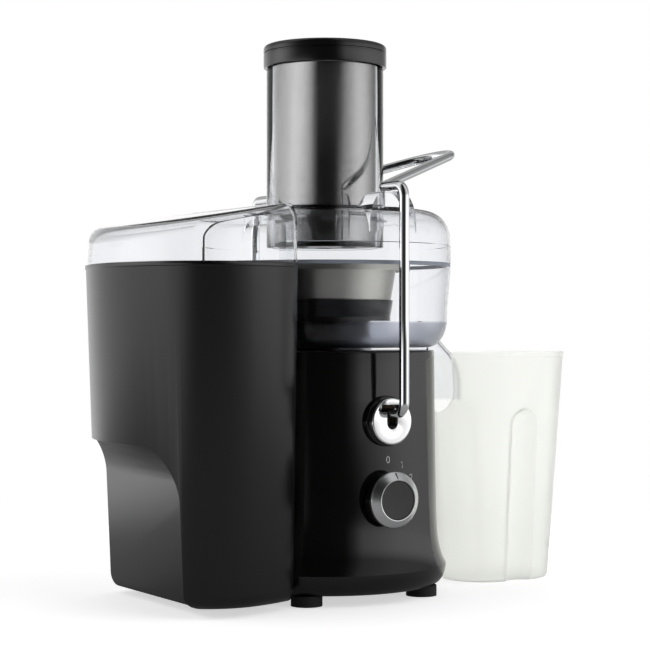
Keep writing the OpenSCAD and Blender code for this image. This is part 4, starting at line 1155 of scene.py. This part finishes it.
def wire_world():
    """The white backdrop for plain sight, and the studio walls at each bearing for the rest."""
    tree = world.node_tree
    tree.nodes.clear()

    def put(kind, inputs, **settings):
        """Adds a node, sets it, and links or fills its inputs."""
        made = tree.nodes.new(kind)
        for key, value in settings.items():
            setattr(made, key, value)
        for key, value in inputs.items():
            if isinstance(value, bpy.types.NodeSocket):
                tree.links.new(value, made.inputs[key])
            else:
                made.inputs[key].default_value = value
        return made

    def scaled(vector, scale):
        return put("ShaderNodeVectorMath", {0: vector, 1: scale}, operation="MULTIPLY").outputs[0]

    def toward(direction):
        """The cosine of the ray's bearing from a level direction."""
        made = put("ShaderNodeVectorMath", {0: bearing, 1: direction}, operation="DOT_PRODUCT")
        return made.outputs["Value"]

    def blend(amount, none, full, kind="MIX"):
        inputs = {0: amount, 6: none, 7: full}
        return put("ShaderNodeMix", inputs, data_type="RGBA", blend_type=kind).outputs[2]

    def between(start, end, least=0.0, most=1.0):
        """Runs from least to most while the ray's height goes from start to end."""
        inputs = {0: height, 1: start, 2: end, 3: least, 4: most}
        return put("ShaderNodeMapRange", inputs).outputs[0]

    def wall(stops):
        """Brightness by bearing, read off the cosine of the bearing."""
        half = put("ShaderNodeMath", {0: from_back, 1: 0.5, 2: 0.5}, operation="MULTIPLY_ADD")
        ramp = put("ShaderNodeValToRGB", {0: half.outputs[0]})
        elements = ramp.color_ramp.elements
        while len(elements) < len(stops):
            elements.new(1.0)
        for element, (degrees, level) in zip(elements, reversed(stops)):
            element.position = (math.cos(math.radians(degrees)) + 1) / 2
            element.color = (level / WALL_PEAK,) * 3 + (1,)
        return ramp.outputs[0]

    ray = put("ShaderNodeLightPath", {})
    sight = put("ShaderNodeTexCoord", {}).outputs["Generated"]
    level = put("ShaderNodeVectorMath", {0: scaled(sight, (1, 1, 0))}, operation="NORMALIZE")
    bearing = level.outputs[0]
    from_back = toward(behind)
    from_right = toward((-behind.y, behind.x, 0))
    side = put("ShaderNodeMath", {0: from_right, 1: 0}, operation="GREATER_THAN").outputs[0]
    # Turned over, because the reflections looked right that way round
    height = put("ShaderNodeSeparateXYZ", {0: scaled(sight, (1, 1, -1))}).outputs["Z"]

    low_walls = blend(side, wall(LEFT_LOW), wall(RIGHT_LOW))
    high_walls = blend(side, wall(LEFT_HIGH), wall(RIGHT_HIGH))
    walls = blend(between(HIGH_FROM, HIGH_AT), low_walls, high_walls)
    darker = between(TABLE_AT, TABLE_FROM, TABLE_DARK, 1.0)
    room = blend(between(CEILING_FROM, CEILING_AT), blend(1, walls, darker, "MULTIPLY"), CEILING)
    bounced = put("ShaderNodeBackground", {0: room, 1: WALL_PEAK})
    plain = put("ShaderNodeBackground", {0: (1, 1, 1, 1)})
    seen = put("ShaderNodeMixShader", {
        0: ray.outputs["Is Camera Ray"], 1: bounced.outputs[0], 2: plain.outputs[0],
    })
    put("ShaderNodeOutputWorld", {0: seen.outputs[0]})


wire_world()


# ---------------------------------------------------------------- floor

FLOOR_SIZE, FLOOR_EDGE, FLOOR_FADE = 9, 0.75, 0.35
FLOOR_SHADE, FLOOR_SHADE_IN_GLOSS = (0.8, 0.8, 0.8), (0.35, 0.35, 0.35)
FLOOR_GLOW, FLOOR_GLOW_IN_GLOSS = (0.58, 0.58, 0.58), 0.12

floor = add("floor", bpy.ops.mesh.primitive_plane_add, size=FLOOR_SIZE)
bpy.ops.mesh.subdivide(number_cuts=4)
settle(floor)
floor_white = Finish("floor_white", FLOOR_SHADE, 0.85, Emission_Strength=1.0)
across = floor_white.axes(floor_white.place())
outward = (across[0] * across[0] + across[1] * across[1]) ** 0.5
in_sight, through, in_gloss = [
    floor_white.node("ShaderNodeLightPath", {}, {}, "Is %s Ray" % kind)
    for kind in ("Camera", "Transmission", "Glossy")
]
glow = (in_sight + through + in_gloss * FLOOR_GLOW_IN_GLOSS).clamp()
shade = floor_white.mix(in_gloss, FLOOR_SHADE, FLOOR_SHADE_IN_GLOSS)
floor_white.drive("Emission Color", floor_white.mix(glow, (0, 0, 0), FLOOR_GLOW))
floor_white.drive("Base Color", shade)
floor_white.drive("Alpha", ((FLOOR_EDGE - outward) / FLOOR_FADE).clamp())
floor.data.materials.append(floor_white.material)

bpy.context.scene.view_settings.view_transform = "Standard"
